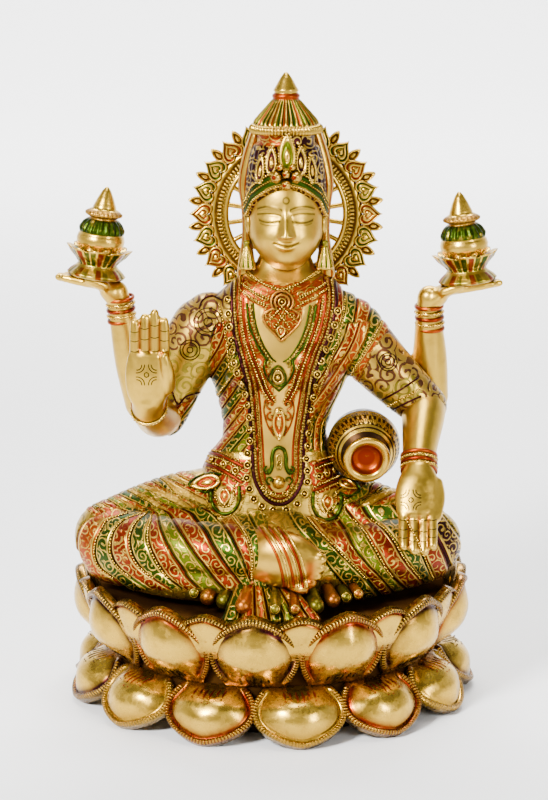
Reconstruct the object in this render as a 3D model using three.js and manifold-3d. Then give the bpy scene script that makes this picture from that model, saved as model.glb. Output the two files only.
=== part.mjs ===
// A cast brass figure of the goddess Lakshmi, seated cross-legged on a double lotus, with four arms,
// a wheel-shaped halo behind the head and small lidded pots on lotuses in the two raised hands.
// Millimetres, +Z up, the figure looks along -Y, and the origin is under the middle of the lotus, on the floor.
import * as THREE from "three";
import { mergeVertices } from "three/addons/utils/BufferGeometryUtils.js";
import Module from "manifold-3d";

const wasm = await Module();
wasm.setup();

// Driving dimensions of the figure
const figureHeight = 295; // from the seat to the point of the crown
const poseHeight = 295; // the height for which the pose and the carving below are written
const share = figureHeight / poseHeight;
const kneeReach = 105 * share; // where the knees come to rest on the petals
const fit = 0.3; // gap between two castings that touch

// Driving dimensions of the lotus
const petalCount = 13;
const seatHeight = 66;
const petalRise = 8; // how far the petal points stand above the seat
const rimMargin = 9; // from the knees' rest to the petal points
const waistInset = 19; // how far the waist lies inside the petal points
const waistHeight = 30;
const footSpread = 5; // how far the lower petal points reach past the upper ones
const footInset = 25; // how far the underside lies inside the petal points
const lowerTipHeight = 2;
const petalThickness = 4;
const upperBulge = 9;
const lowerBulge = 8;
const upperTurn = -5.4; // degrees from the front to the nearest upper petal
const rimRadius = kneeReach + rimMargin;
const waistRadius = rimRadius - waistInset;
const lowerTipRadius = rimRadius + footSpread;
const seatRadius = rimRadius - 13;

// Driving dimensions of the halo
const heartCount = 22;
const spokeCount = 20;
const haloRadius = 58; // to the points of the hearts
const heartRootRadius = 43;
const beadRingRadius = 39;
const beadRingWidth = 4;
const windowOuterRadius = 34;
const hubRadius = 22;
const haloThickness = 3;
const haloRelief = 1.4;
const haloHeight = 211 * share; // of its centre above the seat
const haloBack = 24.6 * share; // of its front face behind the figure's middle
const haloBoss = 9 * share;
const headX = 8 * share; // the head stands a little to the figure's left

// General mesh tools
const v3 = (x, y, z) => new THREE.Vector3(x, y, z);
const at = (x, y, z) => v3(x * share, y * share, z * share); // a place on the figure
const radians = THREE.MathUtils.degToRad;
const lerp = THREE.MathUtils.lerp;
const clamp = THREE.MathUtils.clamp;

function surface(points, faces) {
  const geometry = new THREE.BufferGeometry();
  geometry.setAttribute(
    "position",
    new THREE.Float32BufferAttribute(points.flatMap((p) => p.toArray()), 3),
  );
  geometry.setIndex(faces.flat());
  return geometry;
}

// A closed geometry as a solid whose faces point outwards.
function solid(geometry) {
  const bare = geometry.clone();
  for (const name of Object.keys(bare.attributes))
    if (name !== "position") bare.deleteAttribute(name);
  const merged = mergeVertices(bare, 1e-4);
  const place = merged.attributes.position.array;
  const faces = [];
  for (let i = 0; i < merged.index.count; i += 3) {
    const [a, b, c] = [0, 1, 2].map((n) => merged.index.getX(i + n));
    if (a !== b && b !== c && c !== a) faces.push(a, b, c);
  }
  const build = (triVerts) =>
    new wasm.Manifold(
      new wasm.Mesh({ numProp: 3, vertProperties: place, triVerts: new Uint32Array(triVerts) }),
    );
  const made = build(faces);
  return made.volume() < 0 ? build(faces.reverse()) : made;
}

function geometryOf(made) {
  const mesh = made.getMesh();
  const geometry = new THREE.BufferGeometry();
  geometry.setAttribute("position", new THREE.BufferAttribute(mesh.vertProperties, 3));
  geometry.setIndex(new THREE.BufferAttribute(mesh.triVerts, 1));
  geometry.computeVertexNormals();
  return geometry;
}

const joined = (solids) => solids.reduce((sum, next) => sum.add(next));

// Rings of equal length, skinned from first to last and closed with a point at each end.
function loft(rings, firstPoint, lastPoint) {
  const sides = rings[0].length;
  const points = [firstPoint, ...rings.flat(), lastPoint];
  const faces = [];
  const spot = (ring, side) => 1 + ring * sides + (side % sides);
  for (let side = 0; side < sides; side++) {
    faces.push([0, spot(0, side + 1), spot(0, side)]);
    for (let ring = 0; ring < rings.length - 1; ring++)
      faces.push(
        [spot(ring, side), spot(ring, side + 1), spot(ring + 1, side)],
        [spot(ring, side + 1), spot(ring + 1, side + 1), spot(ring + 1, side)],
      );
    faces.push([spot(rings.length - 1, side), spot(rings.length - 1, side + 1), points.length - 1]);
  }
  return surface(points, faces);
}

// A sheet given as rows of points, thickened by one offset
function slab(rows, offset) {
  const [deep, wide] = [rows.length, rows[0].length];
  const top = rows.flat();
  const points = [...top, ...top.map((p) => p.clone().add(offset))];
  const faces = [];
  for (let j = 0; j < deep - 1; j++)
    for (let i = 0; i < wide - 1; i++) {
      const [a, b, c, d] = [j * wide + i, j * wide + i + 1, (j + 1) * wide + i + 1, (j + 1) * wide + i];
      faces.push([a, c, b], [a, d, c]);
      faces.push([a, b, c].map((n) => n + top.length), [a, c, d].map((n) => n + top.length));
    }
  const border = [];
  for (let i = 0; i < wide - 1; i++) border.push(i);
  for (let j = 0; j < deep - 1; j++) border.push(j * wide + wide - 1);
  for (let i = wide - 1; i > 0; i--) border.push((deep - 1) * wide + i);
  for (let j = deep - 1; j > 0; j--) border.push(j * wide);
  border.forEach((here, n) => {
    const next = border[(n + 1) % border.length];
    faces.push([here, next, next + top.length], [here, next + top.length, here + top.length]);
  });
  return solid(surface(points, faces));
}

const middle = (ring) =>
  ring.reduce((sum, p) => sum.add(p), v3(0, 0, 0)).divideScalar(ring.length);

// A limb along a smooth line through stations [place, width across, depth].
// `across` is the direction of the width. Every second ring stands out by `fold`, and `slant` leans
// the rings, so the folds of the cloth wind round the limb. `round` rounds off either end.
function limb(
  stations,
  { sides = 8, steps = 0, across = v3(1, 0, 0), fold = 0, slant = 0, round = [true, true] } = {},
) {
  const line = new THREE.CatmullRomCurve3(stations.map((s) => s[0]));
  const count = steps || stations.length - 1;
  const reading = (t, column) => {
    const where = clamp(t, 0, 1) * (stations.length - 1);
    const low = Math.min(Math.floor(where), stations.length - 2);
    return lerp(stations[low][column], stations[low + 1][column], where - low);
  };
  const spot = (t, turn, swell, push) => {
    const here = clamp(t, 0, 1);
    const heading = line.getTangent(here);
    const deep = v3(0, 0, 0).crossVectors(heading, across).normalize();
    const wide = v3(0, 0, 0).crossVectors(deep, heading).normalize();
    return line
      .getPoint(here)
      .addScaledVector(heading, push)
      .addScaledVector(wide, Math.cos(turn) * reading(t, 1) * swell)
      .addScaledVector(deep, Math.sin(turn) * reading(t, 2) * swell);
  };
  const ringAt = (t, swell, push, lean) =>
    Array.from({ length: sides }, (_, side) => {
      const turn = (side / sides) * 2 * Math.PI;
      return spot(t + (lean * Math.cos(turn)) / count, turn, swell, push);
    });
  const depthAt = (t) => Math.min(reading(t, 1), reading(t, 2));
  const rings = [];
  if (round[0]) rings.push(ringAt(0, 0.7, -0.65 * depthAt(0), 0));
  for (let step = 0; step <= count; step++) {
    const inner = step > 0 && step < count;
    const swell = inner ? 1 + fold * (step % 2 ? 1 : -1) : 1;
    rings.push(ringAt(step / count, swell, 0, inner ? slant : 0));
  }
  if (round[1]) rings.push(ringAt(1, 0.7, 0.65 * depthAt(1), 0));
  const end = (t, sign, rounded) =>
    line.getPoint(t).addScaledVector(line.getTangent(t), sign * depthAt(t) * (rounded ? 1 : 0.3));
  return solid(loft(rings, end(0, -1, round[0]), end(1, 1, round[1])));
}

function ball(centre, [wide, deep, tall], turn = [0, 0, 0], around = 10, over = 6) {
  const geometry = new THREE.SphereGeometry(1, around, over).rotateX(Math.PI / 2);
  geometry.scale(wide, deep, tall);
  geometry.applyMatrix4(
    new THREE.Matrix4().makeRotationFromEuler(new THREE.Euler(...turn.map(radians))),
  );
  return solid(geometry.translate(centre.x, centre.y, centre.z));
}

// A turned form: [radius, height] pairs from the axis at the bottom to the axis at the top.
function turned(profile, around, place = new THREE.Matrix4(), wave = () => 1) {
  const geometry = new THREE.LatheGeometry(
    profile.map(([radius, height]) => new THREE.Vector2(radius, height)),
    around,
  ).rotateX(Math.PI / 2);
  const spots = geometry.attributes.position;
  for (let i = 0; i < spots.count; i++) {
    const [x, y, z] = [spots.getX(i), spots.getY(i), spots.getZ(i)];
    const swell = wave(Math.atan2(x, -y), z);
    spots.setXYZ(i, x * swell, y * swell, z);
  }
  return solid(geometry.applyMatrix4(place));
}

const placed = (centre, turn = [0, 0, 0]) =>
  new THREE.Matrix4()
    .makeRotationFromEuler(new THREE.Euler(...turn.map(radians)))
    .setPosition(centre);

// Lotus base

// How wide a petal is at each share of its length, from its foot to its point.
function petalWidth(v, widest = 0.42) {
  if (v < widest) return 0.74 + 0.26 * Math.sin((Math.PI / 2) * (v / widest));
  return Math.pow(1 - Math.pow((v - widest) / (1 - widest), 2), 0.75);
}

function petal({ azimuth, foot, tip, halfWidth, bulge, thickness, across, along }) {
  const [run, rise] = [tip[0] - foot[0], tip[1] - foot[1]];
  const length = Math.hypot(run, rise);
  const [outR, outZ] = [Math.abs(rise) / length, (-run * Math.sign(rise)) / length];
  const spot = (u, v, out) => {
    const radius = foot[0] + run * v + outR * out;
    const turn = azimuth + (u * halfWidth * petalWidth(v)) / (foot[0] + run * v);
    return v3(radius * Math.sin(turn), -radius * Math.cos(turn), foot[1] + rise * v + outZ * out);
  };
  const dome = (u, v) =>
    bulge * (1 - u * u) * Math.pow(Math.sin(Math.PI * lerp(0.12, 1, v)), 0.7);
  // The domed front is a grid that ends in a point, and the back spans from edge to edge.
  const points = [];
  const row = (j) => j * (across + 3);
  for (let j = 0; j < along; j++) {
    const v = j / along;
    for (let i = 0; i <= across; i++) {
      const u = (2 * i) / across - 1;
      points.push(spot(u, v, dome(u, v)));
    }
    points.push(spot(-1, v, -thickness), spot(1, v, -thickness));
  }
  const frontTip = points.push(spot(0, 1, 0)) - 1;
  const backTip = points.push(spot(0, 1, -thickness / 3)) - 1;
  const faces = [];
  const quad = (a, b, c, d) => faces.push([a, b, c], [a, c, d]);
  for (let j = 0; j < along; j++) {
    const [here, next] = [row(j), row(j + 1)];
    const last = j === along - 1;
    for (let i = 0; i < across; i++)
      if (last) faces.push([here + i, here + i + 1, frontTip]);
      else quad(here + i, here + i + 1, next + i + 1, next + i);
    const [left, right] = [here + across + 1, here + across + 2];
    const [leftNext, rightNext] = last ? [backTip, backTip] : [next + across + 1, next + across + 2];
    const [frontLeft, frontRight] = last ? [frontTip, frontTip] : [next, next + across];
    faces.push([left, leftNext, right]);
    if (!last) faces.push([right, leftNext, rightNext]);
    quad(here, frontLeft, leftNext, left);
    quad(right, rightNext, frontRight, here + across);
  }
  const footLeft = across + 1;
  for (let i = 0; i < across; i++) faces.push([footLeft, i + 1, i]);
  faces.push([footLeft, footLeft + 1, across]);
  return solid(surface(points, faces));
}

function lotusBase() {
  const step = (2 * Math.PI) / petalCount;
  const upperWidth = (Math.PI * (waistRadius + rimRadius)) / 2 / petalCount;
  // The hidden core has one face behind each upper petal.
  const core = turned(
    [
      [0, 0],
      [rimRadius - footInset, 0],
      [waistRadius, waistHeight],
      [seatRadius, seatHeight],
      [0, seatHeight],
    ],
    petalCount,
    placed(v3(0, 0, 0), [0, 0, upperTurn - 90 + 180 / petalCount]),
  );
  const pieces = [core];
  const upperTip = seatHeight + petalRise;
  for (let n = 0; n < petalCount; n++) {
    const upper = radians(upperTurn) + n * step;
    pieces.push(
      petal({
        azimuth: upper,
        foot: [waistRadius, waistHeight + 1],
        tip: [rimRadius, upperTip],
        halfWidth: upperWidth * 0.94,
        bulge: upperBulge,
        thickness: petalThickness,
        across: 4,
        along: 3,
      }),
      // The point of a petal behind, which looks out between two
      petal({
        azimuth: upper + step / 2,
        foot: [lerp(waistRadius, rimRadius, 0.55), lerp(waistHeight, upperTip, 0.5)],
        tip: [rimRadius - 1, upperTip - 1],
        halfWidth: upperWidth * 0.8,
        bulge: 0,
        thickness: petalThickness,
        across: 2,
        along: 1,
      }),
      petal({
        azimuth: upper + step / 2,
        foot: [waistRadius, waistHeight - 2],
        tip: [lowerTipRadius, lowerTipHeight],
        halfWidth: upperWidth * 0.94,
        bulge: lowerBulge,
        thickness: petalThickness,
        across: 4,
        along: 3,
      }),
    );
  }
  return joined(pieces);
}

// Halo

function heartOutline(radius, size) {
  const outline = new THREE.Shape();
  const half = [
    [1, 0],
    [0.1, 0.58],
    [-0.5, 0.3],
    [-0.36, 0],
  ];
  const mirrored = half.slice(1, -1).reverse();
  [...half, ...mirrored.map(([out, side]) => [out, -side])].forEach(([out, side], n) =>
    n === 0
      ? outline.moveTo(radius + out * size, side * size)
      : outline.lineTo(radius + out * size, side * size),
  );
  return outline;
}

// The halo is drawn lying down with its relief up, and is stood up in the scene.
function halo() {
  const plate = new THREE.Shape();
  const step = (2 * Math.PI) / heartCount;
  const onPlate = (radius, turn) => [radius * Math.cos(turn), radius * Math.sin(turn)];
  for (let n = 0; n < heartCount; n++) {
    const turn = n * step + step / 2;
    // Each heart's point, then the small leaf that looks out between it and the next heart
    const outline = [
      [haloRadius - 4.5, -0.3],
      [haloRadius, 0],
      [haloRadius - 4.5, 0.3],
      [haloRadius - 1.5, 0.44],
      [haloRadius - 1.5, 0.56],
    ];
    for (const [radius, part] of outline) {
      const spot = onPlate(radius, turn + part * step);
      if (n === 0 && part === -0.3) plate.moveTo(...spot);
      else plate.lineTo(...spot);
    }
  }
  plate.closePath();
  for (let n = 0; n < spokeCount; n++) {
    const from = ((n + 0.16) / spokeCount) * 2 * Math.PI;
    const to = ((n + 0.84) / spokeCount) * 2 * Math.PI;
    const hole = new THREE.Path();
    hole.moveTo(...onPlate(hubRadius, from));
    hole.lineTo(...onPlate(windowOuterRadius, from));
    hole.lineTo(...onPlate(windowOuterRadius, to));
    hole.lineTo(...onPlate(hubRadius, to));
    hole.closePath();
    plate.holes.push(hole);
  }
  const flat = { bevelEnabled: false };
  const raised = { ...flat, depth: haloRelief + 1 };
  const pieces = [solid(new THREE.ExtrudeGeometry(plate, { ...flat, depth: haloThickness }))];
  const face = haloThickness - 1;
  for (let n = 0; n < heartCount; n++)
    pieces.push(
      solid(
        new THREE.ExtrudeGeometry(heartOutline(50, 6.2), raised)
          .translate(0, 0, face)
          .rotateZ(n * step + step / 2),
      ),
    );
  // A rounded ring, where the beads sit, beside a lower smooth one
  const top = haloThickness + haloRelief;
  const beadInner = beadRingRadius - beadRingWidth / 2;
  pieces.push(
    solid(
      new THREE.LatheGeometry(
        [
          [beadInner - 2.2, face],
          [beadInner + beadRingWidth, face],
          [beadInner + beadRingWidth - 0.7, top],
          [beadInner, top],
          [beadInner - 2.2, face],
        ].map(([radius, height]) => new THREE.Vector2(radius, height)),
        26,
      ).rotateX(Math.PI / 2),
    ),
  );
  return joined(pieces);
}

// Figure: trunk

// [height, middle X, middle Y, half width, half depth] of the trunk, from the hips to the throat
const trunk = [
  [20, 0, 8, 58, 42],
  [50, 0, 6, 48, 33],
  [62, 0, 6, 41, 29],
  [64, 0, 6, 42.5, 31],
  [74, 0.5, 6, 38, 28.5],
  [75.5, 0.5, 6, 34.5, 25.5],
  [85, 1.8, 5, 29.5, 23],
  [99, 2.5, 5, 32, 24],
  [116, 4, 5, 38, 27],
  [134, 5, 2.5, 42.5, 27],
  [152, 5.5, 1, 44.5, 22],
  [165, 6, 1.5, 40, 20],
  [175, 6.5, 1.5, 30, 17.5],
  [181, 7, 2, 19, 15],
  [197, 7.5, 0, 14.5, 13.5],
];

function trunkAt(height) {
  const upper = clamp(
    trunk.findIndex(([z]) => z > height),
    1,
    trunk.length - 1,
  );
  const [low, high] = [trunk[upper - 1], trunk[upper]];
  const part = clamp((height - low[0]) / (high[0] - low[0]), 0, 1);
  return low.map((value, column) => lerp(value, high[column], part));
}

// The front of the trunk at a place seen from the front
function chest(x, z, proud = 0) {
  const [, cx, cy, wide, deep] = trunkAt(z);
  const across = clamp((x - cx) / wide, -0.98, 0.98);
  return at(x, cy - deep * Math.sqrt(1 - across * across) - proud, z);
}

function body() {
  const sides = 12;
  const rings = trunk.map(([z, cx, cy, wide, deep]) =>
    Array.from({ length: sides }, (_, side) => {
      const turn = (side / sides) * 2 * Math.PI;
      return at(cx + wide * Math.cos(turn), cy + deep * Math.sin(turn), z);
    }),
  );
  return solid(loft(rings, middle(rings[0]), middle(rings[rings.length - 1])));
}

// A cord of the given half-width laid on the chest along [x, z] places
function chain(places, halfWidth, steps) {
  const line = new THREE.CatmullRomCurve3(places.map(([x, z]) => v3(x, 0, z)));
  const rings = [];
  for (let step = 0; step <= steps; step++) {
    const spot = line.getPoint(step / steps);
    const heading = line.getTangent(step / steps);
    const ring = [
      [-1, -1.5],
      [-0.7, 0.9],
      [0.7, 0.9],
      [1, -1.5],
    ].map(([side, proud]) =>
      chest(
        spot.x + heading.z * side * halfWidth,
        spot.z - heading.x * side * halfWidth,
        proud * 2.4,
      ),
    );
    rings.push(ring);
  }
  return solid(loft(rings, middle(rings[0]), middle(rings[rings.length - 1])));
}

// The two belt edges are the closely spaced pairs of stations above.
// The stole that hangs from the shoulders, drawn in at the waist and round at its foot
const stole = [
  [172, 21],
  [150, 25],
  [128, 22.5],
  [106, 18],
  [88, 15.5],
  [72, 16],
  [58, 16.5],
  [49, 13],
  [45, 6],
];

function stolePanel() {
  const across = 4;
  const rows = stole.map(([z, half]) => {
    const front = [];
    const back = [];
    for (let n = 0; n <= across; n++) {
      const x = trunkAt(z)[1] + 2 + ((2 * n) / across - 1) * half;
      front.push(chest(x, z, n === 0 || n === across ? 4 : 2.8));
      back.unshift(chest(x, z, -7));
    }
    return [...front, ...back];
  });
  return solid(loft(rows, middle(rows[0]), middle(rows[rows.length - 1])));
}

function chestOrnaments() {
  const mirrorChain = (half, halfWidth, steps) => {
    const left = half.map(([dx, z]) => [7 - dx, z]);
    const right = half
      .slice(0, -1)
      .reverse()
      .map(([dx, z]) => [7 + dx, z]);
    return chain([...left, ...right], halfWidth, steps);
  };
  // The folds of the sari that cross the chest to each side of the stole
  const folds = [
    [[-32, 158], [-26, 132], [-18, 108]],
    [[-38, 140], [-30, 116], [-20, 94]],
    [[43, 164], [36, 134], [26, 100]],
    [[48, 148], [40, 120], [28, 90]],
  ].map((places) => chain(places, 3.2, 3));
  const drop = (wide, tall) => [wide * share, 3 * share, tall * share];
  return [
    mirrorChain([[18, 182], [14, 172], [0, 166]], 4.5, 8),
    mirrorChain([[20, 166], [13, 140], [0, 124]], 1.8, 6),
    mirrorChain([[23, 160], [17, 125], [0, 98]], 1.8, 6),
    ...folds,
    // Pendants: rosette, green drop, long drop, and the jewel at the foot of the stole
    ball(chest(6, 149, 2.5), drop(9, 11), [0, 0, 0], 8, 4),
    ball(chest(6, 119, 3), drop(5.5, 8), [0, 0, 0], 6, 4),
    ball(chest(5, 93, 3.5), drop(5.5, 8), [0, 0, 0], 6, 4),
    ball(chest(3, 60, 3.5), drop(6.5, 9), [0, 0, 0], 6, 4),
  ];
}

// Figure: head, hair and crown

function head() {
  const faceZ = 214;
  return [
    ball(at(8, -2, faceZ), [21.5 * share, 22 * share, 26 * share], [0, 0, 0], 12, 7),
    ball(at(8, -8, 200.5), [14.5 * share, 14 * share, 14 * share], [0, 0, 0], 10, 6),
    // Nose, lips and the lids of the half-closed eyes
    limb([[at(8, -21.5, 219), 1.5, 2], [at(8, -24.5, 208), 3, 2.6]], { sides: 5, steps: 1 }),
    ball(at(8, -21.6, 200), [6 * share, 1.9 * share, 2.2 * share], [0, 0, 0], 6, 3),
    ball(at(-0.8, -19.4, 216), [5.4 * share, 2.4 * share, 2.3 * share], [0, 0, 14], 6, 3),
    ball(at(16.8, -19.4, 216), [5.4 * share, 2.4 * share, 2.3 * share], [0, 0, -14], 6, 3),
    // The boss that carries the halo
    turned(
      [
        [0, 0],
        [haloBoss, 0],
        [haloBoss, 16 * share],
        [0, 16 * share],
      ],
      8,
      placed(v3(headX, haloBack + haloRelief, haloHeight), [90, 0, 0]),
    ),
    // Hair over the neck, ears with long rings
    ball(at(8, 8, 210), [25 * share, 14 * share, 24 * share], [0, 0, 0], 8, 4),
    limb([[at(-15, -2, 214), 3.5, 5], [at(-15.5, -3, 202), 3, 4], [at(-15, -4, 189), 5, 5]], {
      sides: 5,
      steps: 2,
    }),
    limb([[at(31, -2, 214), 3.5, 5], [at(30.5, -3, 202), 3, 4], [at(29, -4, 187), 5, 5]], {
      sides: 5,
      steps: 2,
    }),
  ];
}

const canopyPleats = 6;

function crown() {
  const pleat = (turn, height) =>
    height > 264 && height < 278 ? 1 + 0.05 * Math.cos(canopyPleats * turn) : 1;
  const cap = turned(
    [
      [0, 225],
      [25.5, 226],
      [26.5, 236],
      [22.5, 252],
      [19, 261],
      [20.5, 265],
      [14, 270],
      [10.5, 275.5],
      [8, 279],
      [8.6, 281.5],
      [5.6, 284.5],
      [2.6, 292],
      [0, 295],
    ].map(([radius, height]) => [radius * share, height * share]),
    2 * canopyPleats,
    placed(v3(headX, -3 * share, 0)),
    (turn, height) => pleat(turn, height / share),
  );
  // The brow band arches over the face, and a tall leaf stands on it.
  const band = limb(
    [
      [at(-16.5, -12, 221), 3.2, 3.5],
      [at(-8, -22, 233), 3.2, 3.5],
      [at(8, -25.5, 238), 3.2, 3.5],
      [at(24, -22, 233), 3.2, 3.5],
      [at(33, -12, 221), 3.2, 3.5],
    ],
    { sides: 5, across: v3(0, 0.2, 1), round: [false, false] },
  );
  return [
    cap,
    band,
    ball(at(8.4, -24.5, 250), [6.5 * share, 4 * share, 14 * share], [8, 0, 0], 8, 5),
    ball(at(-1, -23.5, 245), [4 * share, 3.5 * share, 5 * share], [0, 0, 0], 6, 4),
    ball(at(17.8, -23.5, 245), [4 * share, 3.5 * share, 5 * share], [0, 0, 0], 6, 4),
    ball(at(8.4, -28, 237), [4 * share, 3 * share, 5 * share], [0, 0, 0], 6, 4),
  ];
}

// Figure: arms and hands

// A hand of four fingers and a thumb: `wrist`, `knuckles` and `tips` are places on its middle line,
// `across` points from the little finger to the first one, and `spread` is the palm's half-width.
function hand({ wrist, knuckles, tips, across, spread, lengths, thumb }) {
  const side = across.clone().normalize();
  const pieces = [
    limb(
      [
        [wrist, 7.5 * share, 6 * share],
        [wrist.clone().lerp(knuckles, 0.45), spread * 1.02, 5.5 * share],
        [knuckles, spread, 4 * share],
      ],
      { sides: 8, steps: 2, across: side },
    ),
  ];
  const fingerWidth = (spread * 2) / 4 / 2;
  const reach = tips.clone().sub(knuckles);
  lengths.forEach((length, n) => {
    const offset = side.clone().multiplyScalar((n - 1.5) * 2 * fingerWidth);
    const root = knuckles.clone().add(offset).addScaledVector(reach, -0.12);
    const tip = knuckles.clone().add(offset).addScaledVector(reach, length);
    const spots = [
      [root, fingerWidth * 1.05, fingerWidth],
      [tip, fingerWidth * 0.88, fingerWidth * 0.8],
    ];
    pieces.push(limb(spots, { sides: 5, across: side, round: [false, true] }));
  });
  pieces.push(
    limb([[thumb[0], 4 * share, 4 * share], [thumb[1], 3 * share, 3 * share]], {
      sides: 5,
      across: side,
      round: [false, true],
    }),
  );
  return pieces;
}

// Stations of a forearm that carries a band of bracelets from share `start` to share `end` of it
function forearm(from, to, startRadius, endRadius, start, end, band) {
  const station = (t, proud) => {
    const radius = lerp(startRadius, endRadius, t) + proud;
    return [from.clone().lerp(to, t), radius, radius];
  };
  return [
    station(0, 0),
    station(start - 0.02, 0),
    station(start, band),
    station(end, band),
    station(end + 0.02, 0),
    station(1, 0),
  ];
}

const scaled = ([place, wide, deep]) => [place, wide * share, deep * share];

function frontRightArm() {
  const wrist = at(-70, -40, 112);
  const upper = [[at(-41, 2, 147), 19, 19], [at(-53, 0, 124), 17, 17], [at(-63, -4, 99), 13, 13]];
  const lower = forearm(at(-63, -4, 98), wrist, 13, 9, 0.55, 0.93, 2);
  return [
    limb(upper.map(scaled)),
    limb(lower.map(scaled), { round: [false, false] }),
    ...hand({
      wrist,
      knuckles: at(-69, -48, 144),
      tips: at(-67, -47, 163),
      across: v3(1, 0.1, 0),
      spread: 12.5 * share,
      lengths: [0.82, 1, 1.18, 0.85],
      thumb: [at(-62, -46, 126), at(-56, -49, 146)],
    }),
  ];
}

function frontLeftArm() {
  const wrist = at(84, -38, 76);
  const upper = [[at(45, 2, 147), 19, 19], [at(66, 0, 124), 16, 16], [at(88, -2, 103), 13, 13]];
  const lower = forearm(at(89, -4, 103), wrist, 12.5, 9, 0.5, 0.88, 2.2);
  return [
    limb(upper.map(scaled)),
    limb(lower.map(scaled), { round: [false, false] }),
    ...hand({
      wrist,
      knuckles: at(83, -59, 52),
      tips: at(84.5, -76, 34),
      across: v3(-1, 0, 0),
      spread: 12 * share,
      lengths: [0.9, 1.0, 1.02, 0.85],
      thumb: [at(93, -44, 66), at(94, -60, 47)],
    }),
  ];
}

// A raised back arm, its open hand bent outwards under a lotus with a lidded pot.
// `side` is -1 for the figure's right arm.
function raisedArm({ side, shoulder, elbow, wrist, palm, tips, pot, lean }) {
  const lower = forearm(elbow, wrist, 11.5, 6.8, 0.72, 0.95, 1.6);
  const heel = palm.clone().lerp(tips, 0.4);
  return [
    limb([[shoulder, 13, 13], [elbow, 11.5, 11.5]].map(scaled), { round: [false, true] }),
    limb(lower.map(scaled), { round: [false, false] }),
    limb([[wrist, 7, 6.5], [palm, 11, 5], [heel, 11.5, 3.6]].map(scaled), {
      across: v3(0, 1, 0),
      round: [false, false],
    }),
    ...[-8, -2.7, 2.7, 8].map((offset, n) =>
      limb(
        [
          [palm.clone().lerp(tips, 0.3).add(at(0, offset, 0)), 2.9, 2.6],
          [tips.clone().add(at(n % 3 === 0 ? -side * 5 : 0, offset, 0)), 2.2, 1.8],
        ].map(scaled),
        { sides: 4, across: v3(0, 1, 0.3), round: [false, false] },
      ),
    ),
    lidded(pot, lean),
  ];
}

const smallPetals = 5;

// A lidded pot with a pointed cover on a small double lotus
function lidded(foot, lean) {
  const profile = [
    [0, 0],
    [16.5, 1.5],
    [10.5, 7.5],
    [19, 17.5],
    [11.5, 15.5],
    [13, 23],
    [11.5, 31],
    [9.8, 36.5],
    [5.8, 40],
    [0, 53],
  ].map(([radius, height]) => [radius * share, height * share]);
  const petals = (turn, height) => {
    const level = height / share;
    if (level < 5) return 1 + 0.06 * Math.cos(smallPetals * turn);
    return level > 9 && level < 20 ? 1 + 0.07 * Math.cos(smallPetals * turn) : 1;
  };
  return turned(profile, 2 * smallPetals, placed(foot, [0, lean, 0]), petals);
}

// The pot that lies against the waist with its mouth to the front
function tippedPot() {
  const profile = [
    [0, -19],
    [15, -14],
    [21.3, 0],
    [18, 12],
    [11, 18],
    [13.6, 23],
    [13, 25],
    [9.5, 24],
    [8, 17.5],
    [0, 18.5],
  ].map(([radius, height]) => [radius * share, height * share]);
  return turned(profile, 12, placed(at(53, -6, 81), [99, 0, 3]));
}

// Figure: crossed legs under the pleated cloth

function legs() {
  const cloth = { sides: 9, across: v3(0, 0, 1) };
  return [
    // Thighs, then the shins that cross in front
    limb([[at(-22, 8, 36), 30, 30], [at(-58, -4, 36), 25, 26], [at(-94, -22, 31), 20, 21]].map(scaled), {
      ...cloth,
      steps: 6,
      fold: 0.05,
      slant: 0.9,
    }),
    limb([[at(22, 8, 36), 30, 30], [at(58, -4, 32), 24, 26], [at(90, -20, 26), 19, 21]].map(scaled), {
      ...cloth,
      steps: 6,
      fold: 0.05,
      slant: -0.9,
    }),
    limb([[at(-94, -26, 29), 20, 20], [at(-55, -55, 31), 19, 17], [at(-8, -75, 35), 15, 14]].map(scaled), {
      ...cloth,
      steps: 13,
      fold: 0.06,
      slant: 1.2,
    }),
    limb([[at(90, -24, 25), 18, 19], [at(54, -52, 27), 18, 17], [at(10, -66, 24), 15, 14]].map(scaled), {
      ...cloth,
      steps: 13,
      fold: 0.06,
      slant: -1.2,
    }),
    // The lap between the legs
    ball(at(0, -41, 22), [48 * share, 40 * share, 28 * share], [0, 0, 0], 10, 5),
    // The right foot, toes to the figure's left, with its toes as one row
    limb([[at(-4, -78, 36), 13, 12], [at(12, -84, 35), 12, 9], [at(25, -86, 30), 10, 6]].map(scaled), {
      across: v3(0, 0, 1),
      round: [false, true],
    }),
    ...[0, 1, 2, 3, 4].map((toe) => {
      const size = [4, 3, 2.4].map((radius) => radius * share);
      return ball(at(31 - toe * 1.5, -87, 38.5 - toe * 4.2), size, [0, 0, 0], 5, 2);
    }),
  ];
}

// The pleats that fan out below the feet and end in a scalloped edge
const hemPleats = 9;

function hem() {
  const row = (leftX, rightX, y, z, ridge) =>
    Array.from({ length: 2 * hemPleats + 1 }, (_, n) => {
      const part = n / (2 * hemPleats);
      const proud = n % 2 ? ridge : 0;
      // The ends lie further back and a little higher than the middle.
      const sweep = Math.pow(2 * part - 1, 2);
      return at(lerp(leftX, rightX, part), y + 9 * sweep - proud * 0.6, z + 5 * sweep + proud);
    });
  return slab(
    [row(-20, 8, -66, 24, 1), row(-30, 26, -84, 18, 3), row(-37, 38, -98, 8, 3.5)],
    at(0, 4, -6),
  );
}

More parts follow.
